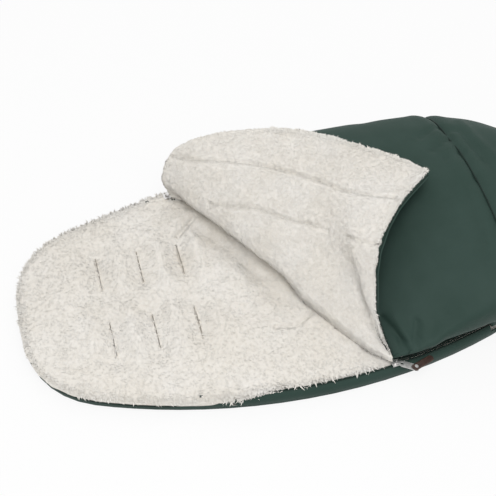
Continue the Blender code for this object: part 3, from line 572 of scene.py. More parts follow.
def swell(obj, pressure, cap, held):
    """Cloth with inner pressure and no gravity: held points stay, and none goes past the cap."""
    before = points(obj)
    group = obj.vertex_groups.new(name="held")
    group.add([int(i) for i in np.flatnonzero(held)], 1.0, "REPLACE")
    only(obj)
    cloth = obj.modifiers.new("cloth", "CLOTH")
    cloth.settings.quality = 4
    cloth.settings.mass = 0.3
    cloth.settings.use_pressure = True
    cloth.settings.uniform_pressure_force = pressure
    cloth.settings.effector_weights.gravity = 0
    cloth.settings.vertex_group_mass = "held"
    cloth.collision_settings.use_collision = False
    cloth.point_cache.frame_start, cloth.point_cache.frame_end = 1, SWELL_FRAMES
    for frame_number in range(1, SWELL_FRAMES + 1):
        scene.frame_set(frame_number)
    bpy.ops.object.modifier_apply(modifier="cloth")
    scene.frame_set(1)
    move = points(obj) - before
    far = np.linalg.norm(move, axis=1)
    move *= np.minimum(1, cap / np.maximum(far, 1e-9))[:, None]
    set_points(obj, before + move)
    obj.vertex_groups.clear()
    middle_move = round(float(np.median(far[~held]) * 1000), 1)
    print(obj.name, "swelled by", middle_move, "mm, cap", cap * 1000)


# %% Weld lining and wadding, and draw the slots shut
VOXEL = 0.0042
LIPS_WIDER, LIPS_SHUT, SHUT_SHARE = 0.0022, 0.0067, 0.94
TOP_DROP = 0.0035
back = copy_of("back_fleece", "base_lining", "base_wadding")
co = points(back)
# The lips are moved apart first, so that the slots stay open through the remesh.
for slot_x, slot_y, slot_length in SLOTS:
    across = co[:, 0] - slot_x
    lips = (np.abs(across) < 0.012) & (np.abs(co[:, 1] - slot_y) < slot_length / 2 + 0.006)
    co[:, 0] += lips * np.sign(across) * LIPS_WIDER
set_points(back, co)
apply(back, "REMESH", mode="VOXEL", voxel_size=VOXEL)
co = points(back)
# Then they are drawn almost shut, and are held while the pad swells.
near_slot = np.zeros(len(co), bool)
for slot_x, slot_y, slot_length in SLOTS:
    across = co[:, 0] - slot_x
    beyond = np.maximum(np.abs(co[:, 1] - slot_y) - slot_length / 2 + 0.004, 0)
    hold = fall(np.abs(across), 0.008, 0.014) * fall(beyond, 0, 0.010)
    shut_move = np.minimum(LIPS_SHUT, np.abs(across) * SHUT_SHARE)
    co[:, 0] -= np.sign(across) * shut_move * hold
    near_slot |= (np.abs(across) < 0.009) & (beyond < 0.008)
co[:, 2] -= TOP_DROP * rise(rim_distance(co), 0, 0.05) * (co[:, 2] > 0.02)
set_points(back, co)
apply(back, "SMOOTH", factor=0.5, iterations=1)
co = points(back)
held = near_slot | (co[:, 2] < 0.012) | (rim_distance(co) < 0.012)
swell(back, pressure=4.0, cap=0.0055, held=held)
round_off(back)
print("back pad", len(back.data.vertices), "points")

# %% Distance to a broken line, and grooves along it
NOWHERE_NEAR = 9.0


def runs(path, size):
    """Start and run of each straight part of a broken line."""
    for start, end in zip(path[:-1], path[1:]):
        start, end = np.array(start[:size]), np.array(end[:size])
        yield start, end - start


def gap_to(co, start, run):
    """Shortest way from one straight part to each point."""
    share = np.clip(((co - start) @ run) / (run @ run), 0, 1)
    return co - start - share[:, None] * run


def along_path(co, path, flat=True):
    """Distance of each point to a broken line, seen from above or in space."""
    size = 2 if flat else 3
    best = np.full(len(co), NOWHERE_NEAR)
    for start, run in runs(path, size):
        best = np.minimum(best, np.linalg.norm(gap_to(co[:, :size], start, run), axis=1))
    return best


def press(co, way, path, depth, width, flat=True):
    """Groove of a depth and width along a path."""
    co += way * (-depth * hill(along_path(co, path, flat), width))[:, None]


# %% Press hollows and creases into the pad, each with its depth and width
CREASES = [
    ([(-0.220, 0.117), (-0.205, 0.128), (-0.183, 0.149)], 0.0060, 0.0045),
    ([(-0.106, -0.108), (-0.071, -0.110), (-0.041, -0.095)], 0.0060, 0.0045),
    ([(-0.245, 0.050), (-0.222, 0.078), (-0.212, 0.115)], 0.004, 0.013),
    ([(-0.290, -0.030), (-0.245, -0.005), (-0.180, 0.010)], 0.004, 0.016),
    ([(-0.330, 0.012), (-0.395, 0.004), (-0.430, -0.020)], 0.004, 0.018),
    ([(-0.395, -0.100), (-0.350, -0.125), (-0.300, -0.115)], 0.003, 0.016),
    ([(-0.160, -0.150), (-0.090, -0.125), (-0.030, -0.130)], 0.003, 0.016),
    ([(-0.190, 0.130), (-0.135, 0.070), (-0.105, 0.000), (-0.080, -0.060)], 0.007, 0.020),
]
co = points(back)
top = rise(normals(back)[:, 2], 0.2, 0.5) * (co[:, 2] > 0.012)
way = np.zeros_like(co)
way[:, 2] = top
for path, depth, width in CREASES:
    press(co, way, path, depth, width)
swells = 0.0046 * cloud(co, 0.075, 3.0) + 0.0028 * cloud(co, 0.034, 8.0)
co[:, 2] += top * rise(rim_distance(co), 0, 0.05) * swells
co[:, 2] += top * 0.0007 * cloud(co, 0.0075, 14.0)
print(len(CREASES), "creases pressed in")

# %% Hollow at each slot, with a soft lip on either side
SLOT_HOLLOW, SLOT_LIP, LIP_AWAY = 0.0060, 0.0040, 0.030
for slot_x, slot_y, slot_length in SLOTS:
    across = (co[:, 0] - slot_x) / 0.022
    along = np.maximum(np.abs(co[:, 1] - slot_y) - slot_length / 2, 0) / 0.02
    co[:, 2] -= top * SLOT_HOLLOW * np.exp(-across ** 2 - along ** 2)
    lip = (np.abs(co[:, 0] - slot_x) - LIP_AWAY) / 0.014
    co[:, 2] += top * SLOT_LIP * np.exp(-lip ** 2 - along ** 2)
print(len(SLOTS), "slots hollowed")

# %% Press the pad flat under the zip tapes, and lower where the zip is shut
TAPE_WIDE, TAPE_START = 0.0130, 0.258
TAPE_TOP, SHUT_DROP, SHUT_INWARDS = 0.0228, 0.0068, 0.0040
tip_x = co[:, 0] + MIDDLE
inside = rim_distance(co)
near_side = rise(-co[:, 1], 0, 0.01)
bare = TAPE_WIDE * rise(tip_x, TAPE_START, 0.130)
# The fleece puffs up where the tape begins.
puffed = rise(tip_x, 0.236, 0.016) * fall(tip_x - 0.280, 0.095 * near_side, 0.010)
co[:, 2] += 0.0042 * puffed * fall(inside, 0.012, 0.012) * (co[:, 2] > 0.020)
# The tape holds it down beyond that, and the shut zip draws it lower and further in.
under_near = (inside < bare) & (co[:, 1] < 0)
under_far = (tip_x > 0.286) & (inside < 0.013) & (co[:, 1] > 0)
zipped = (under_near | under_far) * (co[:, 2] > 0.02)
shut = rise(tip_x - 0.562, -0.250 * (1 - near_side), 0.012)
co[:, 2] -= zipped * np.maximum(co[:, 2] - TAPE_TOP + SHUT_DROP * shut, 0)
drawn_in = SHUT_INWARDS * shut * (inside < 0.016) * (co[:, 2] > 0.008)
co[:, :2] -= outwards(co) * drawn_in[:, None]
print(int(zipped.sum()), "points under the tapes")

# %% Let the fleece bulge over the rim at the head end
RIM_BULGE, HEAD_BULGE = 0.0032, 0.0022
side_wall = (np.abs(normals(back)[:, 2]) < 0.75) & (co[:, 2] > 0.014)
outward = unit(normals(back) * np.array([1, 1, 0]), 0.3)
plain_rim = fall(tip_x, 0.255, 0.050)
near_rim = fall(rim_distance(co), 0.010, 0.012)
co += outward * (side_wall * near_rim * plain_rim * RIM_BULGE)[:, None]
co += outward * (side_wall * near_rim * HEAD_BULGE * fall(tip_x, 0.02, 0.06))[:, None]
set_points(back, co)
shade(back, 80)
bindings = [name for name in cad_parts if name.startswith("slot_binding")]
finish_piece(back, FLEECE, "back_and_cover",
             ["base_lining", "base_wadding"] + bindings)


# %% Pile on the back
def back_weight(centre, facing):
    """Pile on the top and over the rim, longer at the rim, and none where a zip tape lies."""
    inside = rim_distance(centre)
    tip_x = centre[:, 0] + MIDDLE
    far = centre[:, 1] > 0
    rim_face = (inside < 0.014) & (facing[:, 2] > -0.4)
    share = np.maximum(rise(facing[:, 2], 0.05, 0.4), rim_face * 2.2)
    share *= (centre[:, 0] < 0.22) * (centre[:, 2] > 0.013)
    bare = 0.0125 * rise(tip_x - TAPE_START, 0.024 * far, 0.130 - 0.120 * far)
    fringe = (bare > 0.001) & (inside < bare + 0.006)
    share *= (inside > bare) * (1 + 2.5 * fringe) * ((inside > 0.03) | (tip_x < 0.545))
    edge = fall(inside - bare, 0.003, 0.016)
    drift = np.zeros_like(centre)
    drift[:, 0] = centre[:, 0] - np.clip(centre[:, 0], -0.400, 0.300)
    drift[:, 1] = centre[:, 1] * rise(np.abs(centre[:, 1]), 0, 0.15)
    long = 0.46 + 0.50 * edge + 0.5 * fringe
    return share, long, unit(drift, 0.01) * (1.3 * edge + fringe)[:, None]


back_pile = sow_tufts("back_pile", back, count=20500, weight=back_weight, seed=11)
finish_piece(back_pile, TUFT, "back_and_cover")

# %% [markdown]
# ## The turned-back corner
#
# The corner of the cover is one piece of cloth that stands up at the fold and rolls over, widening
# like a cone from the zip slider. It is drawn as rays from the slider to the far edge: the edge
# runs up from the far zip, round the roll, and along the hem to the corner. The zip edge bows
# towards the head, because the cloth has slack there. A grid follows the rays, gets its thickness
# and is rounded by one subdivision.

# %% Far edge of the turned corner, from the fold over the roll to the hem's end
EDGE = np.array([(0.2896, 0.1960, 0.038), (0.2810, 0.2120, 0.068), (0.2885, 0.2265, 0.097),
                 (0.3050, 0.2345, 0.119), (0.3329, 0.2332, 0.137), (0.3709, 0.2293, 0.149),
                 (0.4179, 0.2194, 0.159), (0.4702, 0.2032, 0.168), (0.5418, 0.1601, 0.180),
                 (0.5898, 0.1196, 0.188), (0.6362, 0.0793, 0.195), (0.6806, 0.0266, 0.202)])
APEX_LOW = np.array((0.560, -0.216, 0.036))
APEX_TOP = np.array((0.556, -0.216, 0.050))


def spline(table, share):
    """Smooth curve through the rows of a table, by the length along it."""
    steps = np.concatenate([[0], np.cumsum(np.linalg.norm(np.diff(table, axis=0), axis=1))])
    steps /= steps[-1]
    slopes = np.gradient(table, steps, axis=0)
    index = np.clip(np.searchsorted(steps, share, side="right") - 1, 0, len(steps) - 2)
    gap = (steps[index + 1] - steps[index])[:, None]
    local = ((share - steps[index])[:, None]) / gap
    square, cube = local ** 2, local ** 3
    return (table[index] * (2 * cube - 3 * square + 1)
            + slopes[index] * gap * (cube - 2 * square + local)
            + table[index + 1] * (3 * square - 2 * cube)
            + slopes[index + 1] * gap * (cube - square))


print("far edge of the corner:", len(EDGE), "points")

# %% Bow of the zip edge (headwards and up) and bulge of the fold's front, by share of the way out
BOW = np.array([(0.0, 0.000, 0.000), (0.04, -0.010, 0.007), (0.10, -0.027, 0.017),
                (0.16, -0.038, 0.022), (0.24, -0.052, 0.025), (0.42, -0.065, 0.029),
                (0.54, -0.067, 0.030), (0.67, -0.060, 0.027), (0.78, -0.047, 0.021),
                (0.86, -0.031, 0.014), (0.94, -0.012, 0.007), (1.0, 0.0, 0.0)])
FRONT = np.array([(0.0, 0.002), (0.08, 0.012), (0.20, 0.014), (0.30, 0.012), (0.42, 0.006),
                  (0.52, 0.003), (0.62, 0.003), (0.76, 0.004), (0.86, 0.006), (0.94, 0.004),
                  (1.0, 0.0)])
HEADWARDS = np.array([-0.8415, -0.5402])


def turned_point(r, t):
    """Point of the turned fleece: r from the slider to the far edge, t from fold to zip edge."""
    # The rays start at the slider, a little higher once they are past the fold's foot.
    lifted = rise(t, 0, 0.10)[:, None]
    apex = APEX_LOW * (1 - lifted) + APEX_TOP * lifted
    point = apex * (1 - r)[:, None] + spline(EDGE, t) * r[:, None]
    # Towards the zip edge the sheet bows headwards and up.
    over = rise(t, 0.12, 0.88)
    bow_power = 0.8 + 1.2 * rise(r, 0, 0.3)
    point[:, 0] += np.interp(r, BOW[:, 0], BOW[:, 1]) * over ** bow_power
    lift = over ** (0.45 + 0.55 * rise(r, 0, 0.6))
    point[:, 2] += np.interp(r, BOW[:, 0], BOW[:, 2]) * np.sin(lift * math.pi / 2)
    # The fold's front bulges at its foot, and its far part is tucked in under the roll.
    front = np.interp(r, FRONT[:, 0], FRONT[:, 1]) * fall(t, 0.03, 0.22)
    front = front + 0.006 * r * hill(t - 0.12, 0.07)
    tucked = rise(r, 0.34, 0.20) * fall(r, 0.90, 0.10)
    front -= 0.026 * tucked * fall(t, 0, 0.075)
    point[:, :2] += HEADWARDS * front[:, None]
    point[:, 2] += 0.016 * r * (1 - r) * hill(t - 0.2, 0.1)
    point[:, 0] -= MIDDLE
    return point


def slimness(r):
    """Share of the full thickness: the sheet is slim at the slider."""
    return 0.22 + 0.78 * rise(r, 0, 0.35)


# %% Grid along the rays, with its thickness
ROWS, COLUMNS = 78, 112
SLOPE_STEP = 0.004


def turned_sheet(name, depth, thick):
    """Closed sheet on the turned corner: how deep it lies and how thick it is."""
    bpy.ops.mesh.primitive_grid_add(x_subdivisions=ROWS, y_subdivisions=COLUMNS, size=2)
    obj = bpy.context.object
    obj.name = name
    flat = points(obj)
    r, t = (flat[:, 0] + 1) / 2, (flat[:, 1] + 1) / 2
    r_low, r_high = np.maximum(r - SLOPE_STEP, 0), np.minimum(r + SLOPE_STEP, 1)
    t_low, t_high = np.maximum(t - SLOPE_STEP, 0), np.minimum(t + SLOPE_STEP, 1)
    wide = np.maximum(r, 0.02)
    outward_ray = turned_point(r_high, t) - turned_point(r_low, t)
    round_way = turned_point(wide, t_high) - turned_point(wide, t_low)
    out = unit(np.cross(outward_ray, round_way))
    if out[:, 2].mean() < 0:
        out = -out
    # Where the rays come together the thickness is laid straight down.
    upward = (fall(r, 0, 0.45) * rise(t, 0.15, 0.30))[:, None]
    out = unit(out * (1 - upward) + np.array([0, 0, 1]) * upward)
    slim = slimness(r)
    outer = turned_point(r, t) - out * (depth * slim)[:, None]
    inner = turned_point(r, t) - out * ((depth + thick) * slim)[:, None]
    close_sheet(obj, outer, inner)
    return obj, outer, inner, r, t


def close_sheet(obj, outer, inner):
    """Thickness by hand: the grid, a twin under it, and a band round the rim."""
    set_points(obj, outer)
    bm = bmesh.new()
    bm.from_mesh(obj.data)
    originals = bm.verts[:]
    rim = [edge for edge in bm.edges if edge.is_boundary]
    twin = bmesh.ops.duplicate(bm, geom=bm.faces[:] + bm.edges[:] + bm.verts[:])["vert_map"]
    for edge in rim:
        a, b = edge.verts
        bm.faces.new((a, b, twin[b], twin[a]))
    for vert, spot in zip(originals, inner):
        twin[vert].co = spot
    bmesh.ops.recalc_face_normals(bm, faces=bm.faces[:])
    bm.to_mesh(obj.data)
    bm.free()


# %% Fleece of the turned corner, held at its stitches while it swells
STITCHES = [
    [(0.99, 0.155), (0.91, 0.21), (0.85, 0.325), (0.805, 0.42), (0.75, 0.555), (0.755, 0.835),
     (0.81, 0.97)],
    [(0.775, 0.12), (0.715, 0.16), (0.655, 0.235), (0.575, 0.335), (0.545, 0.41), (0.51, 0.75),
     (0.565, 0.99)],
]
turned, outer, inner, r, t = turned_sheet("turned_fleece", depth=0.0, thick=0.0125)
stitch_lines = [spline(turned_point(*np.array(line).T), np.linspace(0, 1, 48))
                for line in STITCHES]
co = points(turned)
stitched = np.minimum(*(along_path(co, line, False) for line in stitch_lines)) < 0.0145
r_twice, t_twice = np.tile(r, 2), np.tile(t, 2)
held = stitched | (t_twice < 0.03) | (t_twice > 0.97) | (r_twice < 0.12)
swell(turned, pressure=2.5, cap=0.0040, held=held)
round_off(turned)
print("turned corner", len(turned.data.polygons), "faces")

# %% Stitch lines and soft swelling of the turned fleece
STITCH_DEPTH, STITCH_WIDTH = 0.0050, 0.0036
SLIDER_X, SLIDER_Y = 0.56, -0.212


def from_slider(co):
    """Level distance of each point from the near zip's slider."""
    return np.hypot(co[:, 0] + MIDDLE - SLIDER_X, co[:, 1] - SLIDER_Y)


def finish_turned(obj, material, stands_for=()):
    finish_piece(obj, material, None, stands_for)
    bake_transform(obj)


co = points(turned)
out = normals(turned)
for line in stitch_lines:
    press(co, out, line, STITCH_DEPTH, STITCH_WIDTH, flat=False)
shown = (out[:, 2] > 0.05) | (out[:, :2] @ HEADWARDS > 0.3)
loose = shown * rise(from_slider(co), 0.03, 0.10)
lumps = 0.0026 * cloud(co, 0.060, 21.0) + 0.0016 * cloud(co, 0.024, 5.0)
lumps = lumps + 0.0007 * cloud(co, 0.0075, 9.0)
co += out * (loose * lumps)[:, None]
set_points(turned, co)
shade(turned, 80)
finish_turned(turned, FLEECE,
              ["fold_lining", "fold_wadding", "flap_lining", "flap_wadding"])

# %% Pile on the turned corner, longer where the edge is cut
FRINGE_REACH = 0.012
ZIP_DRIFT, HEM_DRIFT = np.array([0.90, -0.40, -0.1]), np.array([0.45, 0.88, -0.1])
zip_edge = turned_point(np.linspace(0.02, 1, 40), np.ones(40))
hem_edge = turned_point(np.ones(24), np.linspace(1, 0.50, 24))
away_from_inside = unit(outer - inner)
nearest = kdtree.KDTree(len(outer))
for index, spot in enumerate(outer):
    nearest.insert(spot, index)
nearest.balance()


def turned_weight(centre, facing):
    """Pile on the fleece's outer side, denser and longer along the zip edge and the hem."""
    index = [nearest.find(spot)[1] for spot in centre]
    outside = (facing * away_from_inside[index]).sum(1)
    shown = (facing[:, 2] > 0.05) | (facing[:, :2] @ HEADWARDS > 0.25)
    by_zip = fall(along_path(centre, zip_edge, False), 0, FRINGE_REACH)
    by_hem = fall(along_path(centre, hem_edge, False), 0, FRINGE_REACH)
    edge = np.maximum(by_zip, by_hem)
    share = shown * (outside > 0.3) + 5.5 * edge * (outside > -0.3)
    drift = by_zip[:, None] * ZIP_DRIFT + by_hem[:, None] * HEM_DRIFT
    long = 0.46 + 0.26 * by_zip + 0.50 * by_hem
    return share * rise(from_slider(centre), 0.004, 0.03), long, drift


turned_pile = sow_tufts("turned_pile", turned, count=19000, weight=turned_weight, seed=23)
finish_turned(turned_pile, TUFT)

# %% Green cloth on the underside of the turned corner
underside = turned_sheet("turned_fabric", depth=0.0140, thick=0.0016)[0]
round_off(underside)
shade(underside)
finish_turned(underside, GREEN, ["fold_shell", "flap_shell", "flap_hem_binding"])

# %% Zip tape along the corner's open edge
TAPE_STEPS = 60
TAPE_OUT, TAPE_IN, TAPE_SUNK, TAPE_TILT = -0.006, 0.0140, 0.0070, 0.0025
along_edge = np.linspace(0.02, 0.985, TAPE_STEPS)
rim_line = turned_point(along_edge, np.ones(TAPE_STEPS))
inward = unit(rim_line - turned_point(along_edge, np.full(TAPE_STEPS, 0.97)))
out = np.cross(np.gradient(rim_line, axis=0), inward)
out *= (np.sign(out[:, 2].mean()) / np.linalg.norm(out, axis=1))[:, None]
slim = slimness(along_edge)
bpy.ops.mesh.primitive_grid_add(x_subdivisions=TAPE_STEPS - 1, y_subdivisions=3, size=2)
tape = bpy.context.object
tape.name = "corner_zip_tape"
flat = points(tape)
column = np.rint((flat[:, 0] + 1) / 2 * (TAPE_STEPS - 1)).astype(int)
reach = (TAPE_OUT + TAPE_IN * (flat[:, 1] + 1) / 2) * slim[column]
sunk = (TAPE_SUNK - TAPE_TILT * rise((flat[:, 1] + 1) / 2, 0, 1)) * slim[column]
set_points(tape, rim_line[column] + inward[column] * reach[:, None] - out[column] * sunk[:, None])
apply(tape, "SOLIDIFY", thickness=0.0012, offset=0)
round_off(tape)
shade(tape)
finish_turned(tape, GREEN, ["flap_zip_tape"])


# %% Zip coil on that tape
def tube_faces(rings, sides, first=0):
    """Faces round a tube whose rings of points follow each other, and its two ends."""
    faces = []
    for ring in range(rings - 1):
        low = first + sides * ring
        for step in range(sides):
            a, b = low + step, low + (step + 1) % sides
            faces.append((a, b, b + sides, a + sides))
    last = first + sides * (rings - 1)
    faces.append(tuple(range(first + sides - 1, first - 1, -1)))
    faces.append(tuple(range(last, last + sides)))
    return faces


COIL_SIDES, COIL_RADIUS = 8, 0.0014
COIL_OUT, COIL_SUNK = 0.0050, 0.0052
bpy.ops.mesh.primitive_circle_add(vertices=COIL_SIDES, radius=COIL_RADIUS)
coil = bpy.context.object
coil.name = "corner_zip_coil"
ring = points(coil)
line = rim_line + inward * (COIL_OUT * slim)[:, None] - out * (COIL_SUNK * slim)[:, None]
ahead = unit(np.gradient(line, axis=0))
first = unit(np.cross(ahead, (0, 0, 1)))
second = np.cross(ahead, first)
tube = line[:, None] + first[:, None] * ring[None, :, :1] + second[:, None] * ring[None, :, 1:2]
coil.data.clear_geometry()
coil.data.from_pydata(tube.reshape(-1, 3).tolist(), [], tube_faces(TAPE_STEPS, COIL_SIDES))
in_edit_mode(coil, bpy.ops.mesh.normals_make_consistent, inside=False)
shade(coil)
finish_turned(coil, TAPE, ["flap_zip_coil"])

# %% [markdown]
# ## Cover and toe panel
#
# The cover is cut from flat cloth and eased into an arch, so it shows pulls: fine ones across the
# toe seam, a deep one by the slider where the fold tugs at it, and broad soft swells. The frame's
# sheets have nearly the right form, so welded copies are subdivided. The pulls are pressed in by
# moving points towards the arch's axis, the same way in every layer, and at the toes the layers are
# brought down to the rim, where the real cover is sewn to the back.

# %% Pulls in the cover, each with its depth and width; a depth below zero is a ridge
PULLS = [
    ([(0.058, -0.157, 0.062), (0.067, -0.179, 0.061), (0.074, -0.197, 0.057)], 0.0110, 0.0055),
    ([(0.073, -0.152, 0.069), (0.080, -0.179, 0.065), (0.087, -0.206, 0.060)], -0.0040, 0.0060),
    ([(0.104, -0.179, 0.074), (0.097, -0.197, 0.067), (0.090, -0.212, 0.062)], 0.0070, 0.0060),
    ([(0.073, -0.202, 0.055), (0.078, -0.215, 0.055)], 0.0040, 0.0045),
    ([(0.127, -0.194, 0.082), (0.114, -0.213, 0.074), (0.106, -0.223, 0.063)], 0.0035, 0.0080),
    ([(0.268, 0.064, 0.168), (0.250, 0.062, 0.168), (0.227, 0.060, 0.167)], 0.0040, 0.0048),
    ([(0.264, 0.106, 0.163), (0.241, 0.096, 0.164), (0.217, 0.085, 0.166)], 0.0045, 0.0050),
    ([(0.262, 0.140, 0.155), (0.239, 0.132, 0.159), (0.212, 0.124, 0.160)], 0.0040, 0.0050),
    ([(0.264, 0.010, 0.169), (0.252, 0.004, 0.169), (0.234, -0.004, 0.167)], 0.0025, 0.0055),
    ([(0.264, 0.125, 0.160), (0.284, 0.119, 0.160), (0.286, 0.079, 0.167),
      (0.293, 0.037, 0.169)], 0.0050, 0.0075),
    ([(0.303, 0.147, 0.149), (0.300, 0.097, 0.163), (0.310, 0.050, 0.169),
      (0.345, -0.010, 0.166)], -0.0040, 0.0090),
    ([(0.150, -0.200, 0.070), (0.200, -0.207, 0.080), (0.300, -0.190, 0.085)], 0.0130, 0.0280),
    ([(0.175, -0.150, 0.120), (0.240, -0.135, 0.130)], -0.0040, 0.0350),
]
LAYERS_DEEP = 0.035


def arch_way(co):
    """Direction out of the arch at each point."""
    way = np.stack([np.zeros(len(co)), co[:, 1] * 0.75, co[:, 2] - 0.02], 1)
    way[:, 0] = 0.6 * np.maximum(co[:, 0] - 0.36, 0)
    return unit(way)


def groove(co, way, path, depth, width):
    """Groove of a depth and width along a path, through every layer under it."""
    best = np.full(len(co), NOWHERE_NEAR)
    for start, run in runs(path, 3):
        gap = gap_to(co, start, run)
        under = (gap * way).sum(1)
        side = np.linalg.norm(gap - way * under[:, None], axis=1)
        best = np.minimum(best, np.where(np.abs(under) < LAYERS_DEEP, side, NOWHERE_NEAR))
    co += way * (-depth * hill(best, width))[:, None]


print(len(PULLS), "pulls and ridges")

# %% Toe end and open edge of a layer of the cover
TOE_START, TOE_REACH, TOE_TOP = 0.450, 0.046, 0.026
BIN_WIDE, BIN_COUNT = 0.006, 91


def close_toe(co, reach, foot_drop):
    """Bring a layer down to the rim round the toes, where the real cover is sewn to the back."""
    low = rise(co[:, 0], TOE_START, TOE_REACH)
    co[:, 2] -= low * np.maximum(co[:, 2] - TOE_TOP, 0) * 0.97
    co[:, 0] += low * reach
    foot = fall(co[:, 2], 0.030, 0.026) * rise(co[:, 0], 0.236, 0.02)
    co[:, :2] += outwards(co) * (1.7 * foot_drop * foot)[:, None]
    co[:, 2] -= foot_drop * foot


def open_edge_share(co):
    """How near the slider a point is, and how near the layer's edge there."""
    near = fall(co[:, 1], -0.150, 0.06) * fall(co[:, 2], 0.115, 0.03)
    bins = np.clip(((co[:, 1] + 0.24) / BIN_WIDE).astype(int), 0, BIN_COUNT - 1)
    edge = np.full(BIN_COUNT, NOWHERE_NEAR)
    np.minimum.at(edge, bins, co[:, 0])
    return near, hill(co[:, 0] - edge[bins], 0.012) * (co[:, 0] < 0.13)


# %% Ease a layer of the cover: toe end, pulls, seam, open edge and soft swells
SEAM_X = 0.260


def ease_cover(obj, pull_in, open_edge, inset):
    """The same moves for every layer; an inner layer is inset, and keeps off the outer one."""
    co = points(obj)
    if inset:
        close_toe(co, reach=-0.007, foot_drop=0.0)
    else:
        close_toe(co, reach=0.001, foot_drop=0.0085)
    way = arch_way(co)
    for path, depth, width in PULLS:
        groove(co, way, path, depth, width)
    co -= way * (inset * rise(co[:, 2], 0.035, 0.03))[:, None]
    # The seam draws in between two soft ridges.
    to_seam = co[:, 0] - SEAM_X
    co -= way * (pull_in * hill(to_seam, 0.0065))[:, None]
    co += way * (0.0016 * hill(np.abs(to_seam) - 0.020, 0.010))[:, None]
    # By the slider the outer layer's edge comes forward, and the inner ones stay behind it.
    near, at_edge = open_edge_share(co)
    co[:, 0] += open_edge * near * at_edge
    # Lumps all over, and a fuller toe half.
    raised = rise(co[:, 2], 0.05, 0.07)
    full = rise(co[:, 0], 0.14, 0.12) * (1 - 0.6 * rise(co[:, 0], 0.36, 0.12))
    soft = rise(co[:, 0], 0.05, 0.10)
    lumps = 0.0032 * cloud(co, 0.11, 40.0) + 0.0012 * cloud(co, 0.035, 2.0)
    co += way * (raised * (soft * (lumps + 0.002) + full * 0.015))[:, None]
    set_points(obj, co)
    shade(obj)


# %% The five layers and trims of the cover
def cover_piece(name, node, material, levels,
                meet=0.0, pull_in=0.0042, open_edge=-0.006, inset=0.0):
    """Welded copy of one layer, subdivided and eased; meet closes it towards the toe seam."""
    obj = copy_of(name, node)
    round_off(obj, levels)
    co = points(obj)
    co[:, 0] += meet * hill(co[:, 0] - SEAM_X, 0.010)
    set_points(obj, co)
    ease_cover(obj, pull_in, open_edge, inset)
    finish_piece(obj, material, "back_and_cover", [node])
    return obj


cover = cover_piece("cover_fabric", "cover_shell", GREEN, 3, meet=0.0040)
toe = cover_piece("toe_panel_fabric", "toe_panel_shell", GREEN, 3, meet=-0.0040)
inside = cover_piece("cover_fleece", "cover_lining", FLEECE, 2,
                     pull_in=0.0070, open_edge=0.014, inset=0.0030)
filling = cover_piece("cover_filling", "cover_wadding", FILLING, 2,
                      pull_in=0.0070, open_edge=0.014, inset=0.0025)
cover_piece("toe_seam_cord", "toe_seam_piping", TAPE, 1, pull_in=0.0062)

# %% [markdown]
# ## Shell of the back, tapes, coils and piping
#
# Under the fleece runs the green shell, seen from the side as a strip, and on the rim lie the two
# zips. The small trims have the right form in the frame; copies of them only want rounding. The
# back's tapes are laid a little further in, so that they lap over the edge of the fleece.

# %% Back shell with eased edges
shell = copy_of("back_fabric", "base_shell")
apply(shell, "BEVEL", width=0.0007, segments=2, limit_method="ANGLE",
      angle_limit=math.radians(40))
shade(shell, 40)
finish_piece(shell, GREEN, "back_and_cover", ["base_shell"])


# %% Tapes, coils and piping
def rounded_trim(node, material):
    """Welded and subdivided copy of a soft node, in its place."""
    obj = copy_of(node + "_cloth", node)
    round_off(obj)
    shade(obj)
    finish_piece(obj, material, "back_and_cover", [node])
    return obj


TAPE_LAP, LAP_DROP = 0.0045, 0.0004
TRIMS = ("head_piping", "toe_piping", "cover_zip_tape", "base_zip_coil", "cover_zip_coil")
for node in sorted(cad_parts):
    if node.startswith("base_zip_tape"):
        tape = rounded_trim(node, GREEN)
        co = points(tape)
        lap = (co[:, 2] > 0.0255) * rise(rim_distance(co), 0.002, 0.003)
        co[:, 1] -= np.sign(co[:, 1]) * TAPE_LAP * lap
        co[:, 2] -= LAP_DROP * lap
        set_points(tape, co)
    elif node.startswith(TRIMS):
        rounded_trim(node, TAPE)

# %% [markdown]
# ## Leather tabs
#
# Each pull ends in a strip of brown leather with a rounded end. Cut leather has soft edges and a
# row of stitches near them. So the frame's strip is bevelled, and one stitch is modelled and copied
# down both sides, on both faces.

# %% Tabs with eased edges
for side in ("near", "far"):
    tab = copy_of(f"tab_leather_{side}", f"leather_tab_{side}")
    apply(tab, "BEVEL", width=0.0006, segments=3, limit_method="ANGLE",
          angle_limit=math.radians(40))
    shade(tab, 50)
    finish_piece(tab, LEATHER, f"tab_{side}", [f"leather_tab_{side}"])

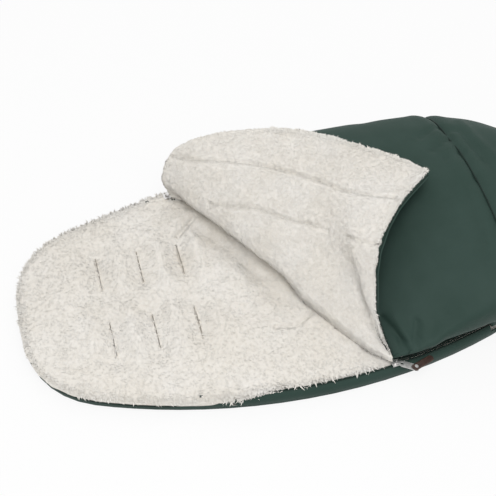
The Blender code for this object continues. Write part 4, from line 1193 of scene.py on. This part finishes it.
# %% One stitch, as rings of points along a short thread
STITCH_SIDES, STITCH_HALF, STITCH_RADIUS = 6, 0.0010, 0.00030
STITCH_RINGS = ((-1.0, 0.35), (-0.55, 1.0), (0.55, 1.0), (1.0, 0.35))


def stitch_points(centre, length_way, width_way, thick_way):
    verts = []
    for end, size in STITCH_RINGS:
        for step in range(STITCH_SIDES):
            angle = math.tau * step / STITCH_SIDES
            verts.append(centre + length_way * end * STITCH_HALF
                         + width_way * STITCH_RADIUS * size * math.cos(angle)
                         + thick_way * STITCH_RADIUS * size * math.sin(angle))
    return verts


# %% Stitches down both sides of a tab, on both faces, but not under the rivet
STITCH_SHARES, STITCH_ACROSS, RIVET_CLEAR = np.linspace(-0.80, 0.80, 13), (-0.70, 0.70), 0.0062


def stitch_places(spread, middle, axes):
    """Centre of every stitch, from the tab's points along its own three axes."""
    half_long, half_wide = np.abs(spread[:, 0]).max(), np.abs(spread[:, 1]).max()
    for share in STITCH_SHARES:
        for across in STITCH_ACROSS:
            for face in (spread[:, 2].max(), spread[:, 2].min()):
                yield (middle + axes[0] * share * half_long + axes[1] * across * half_wide
                       + axes[2] * face)


for side in ("near", "far"):
    co = points(bpy.data.objects[f"tab_leather_{side}"])
    middle = (co.max(0) + co.min(0)) / 2
    axes = np.linalg.svd(co - co.mean(0), full_matrices=False)[2]
    eyelet = points(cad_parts[f"rivet_{side}"]).mean(0)
    verts, faces = [], []
    for centre in stitch_places((co - middle) @ axes.T, middle, axes):
        if np.linalg.norm(centre - eyelet) < RIVET_CLEAR:
            continue
        faces += tube_faces(len(STITCH_RINGS), STITCH_SIDES, first=len(verts))
        verts += stitch_points(centre, *axes)
    mesh = bpy.data.meshes.new(f"tab_stitches_{side}")
    mesh.from_pydata([tuple(vert) for vert in verts], [], faces)
    stitches = new_piece(f"tab_stitches_{side}", mesh)
    in_edit_mode(stitches, bpy.ops.mesh.normals_make_consistent, inside=False)
    shade(stitches)
    finish_piece(stitches, THREAD, f"tab_{side}")
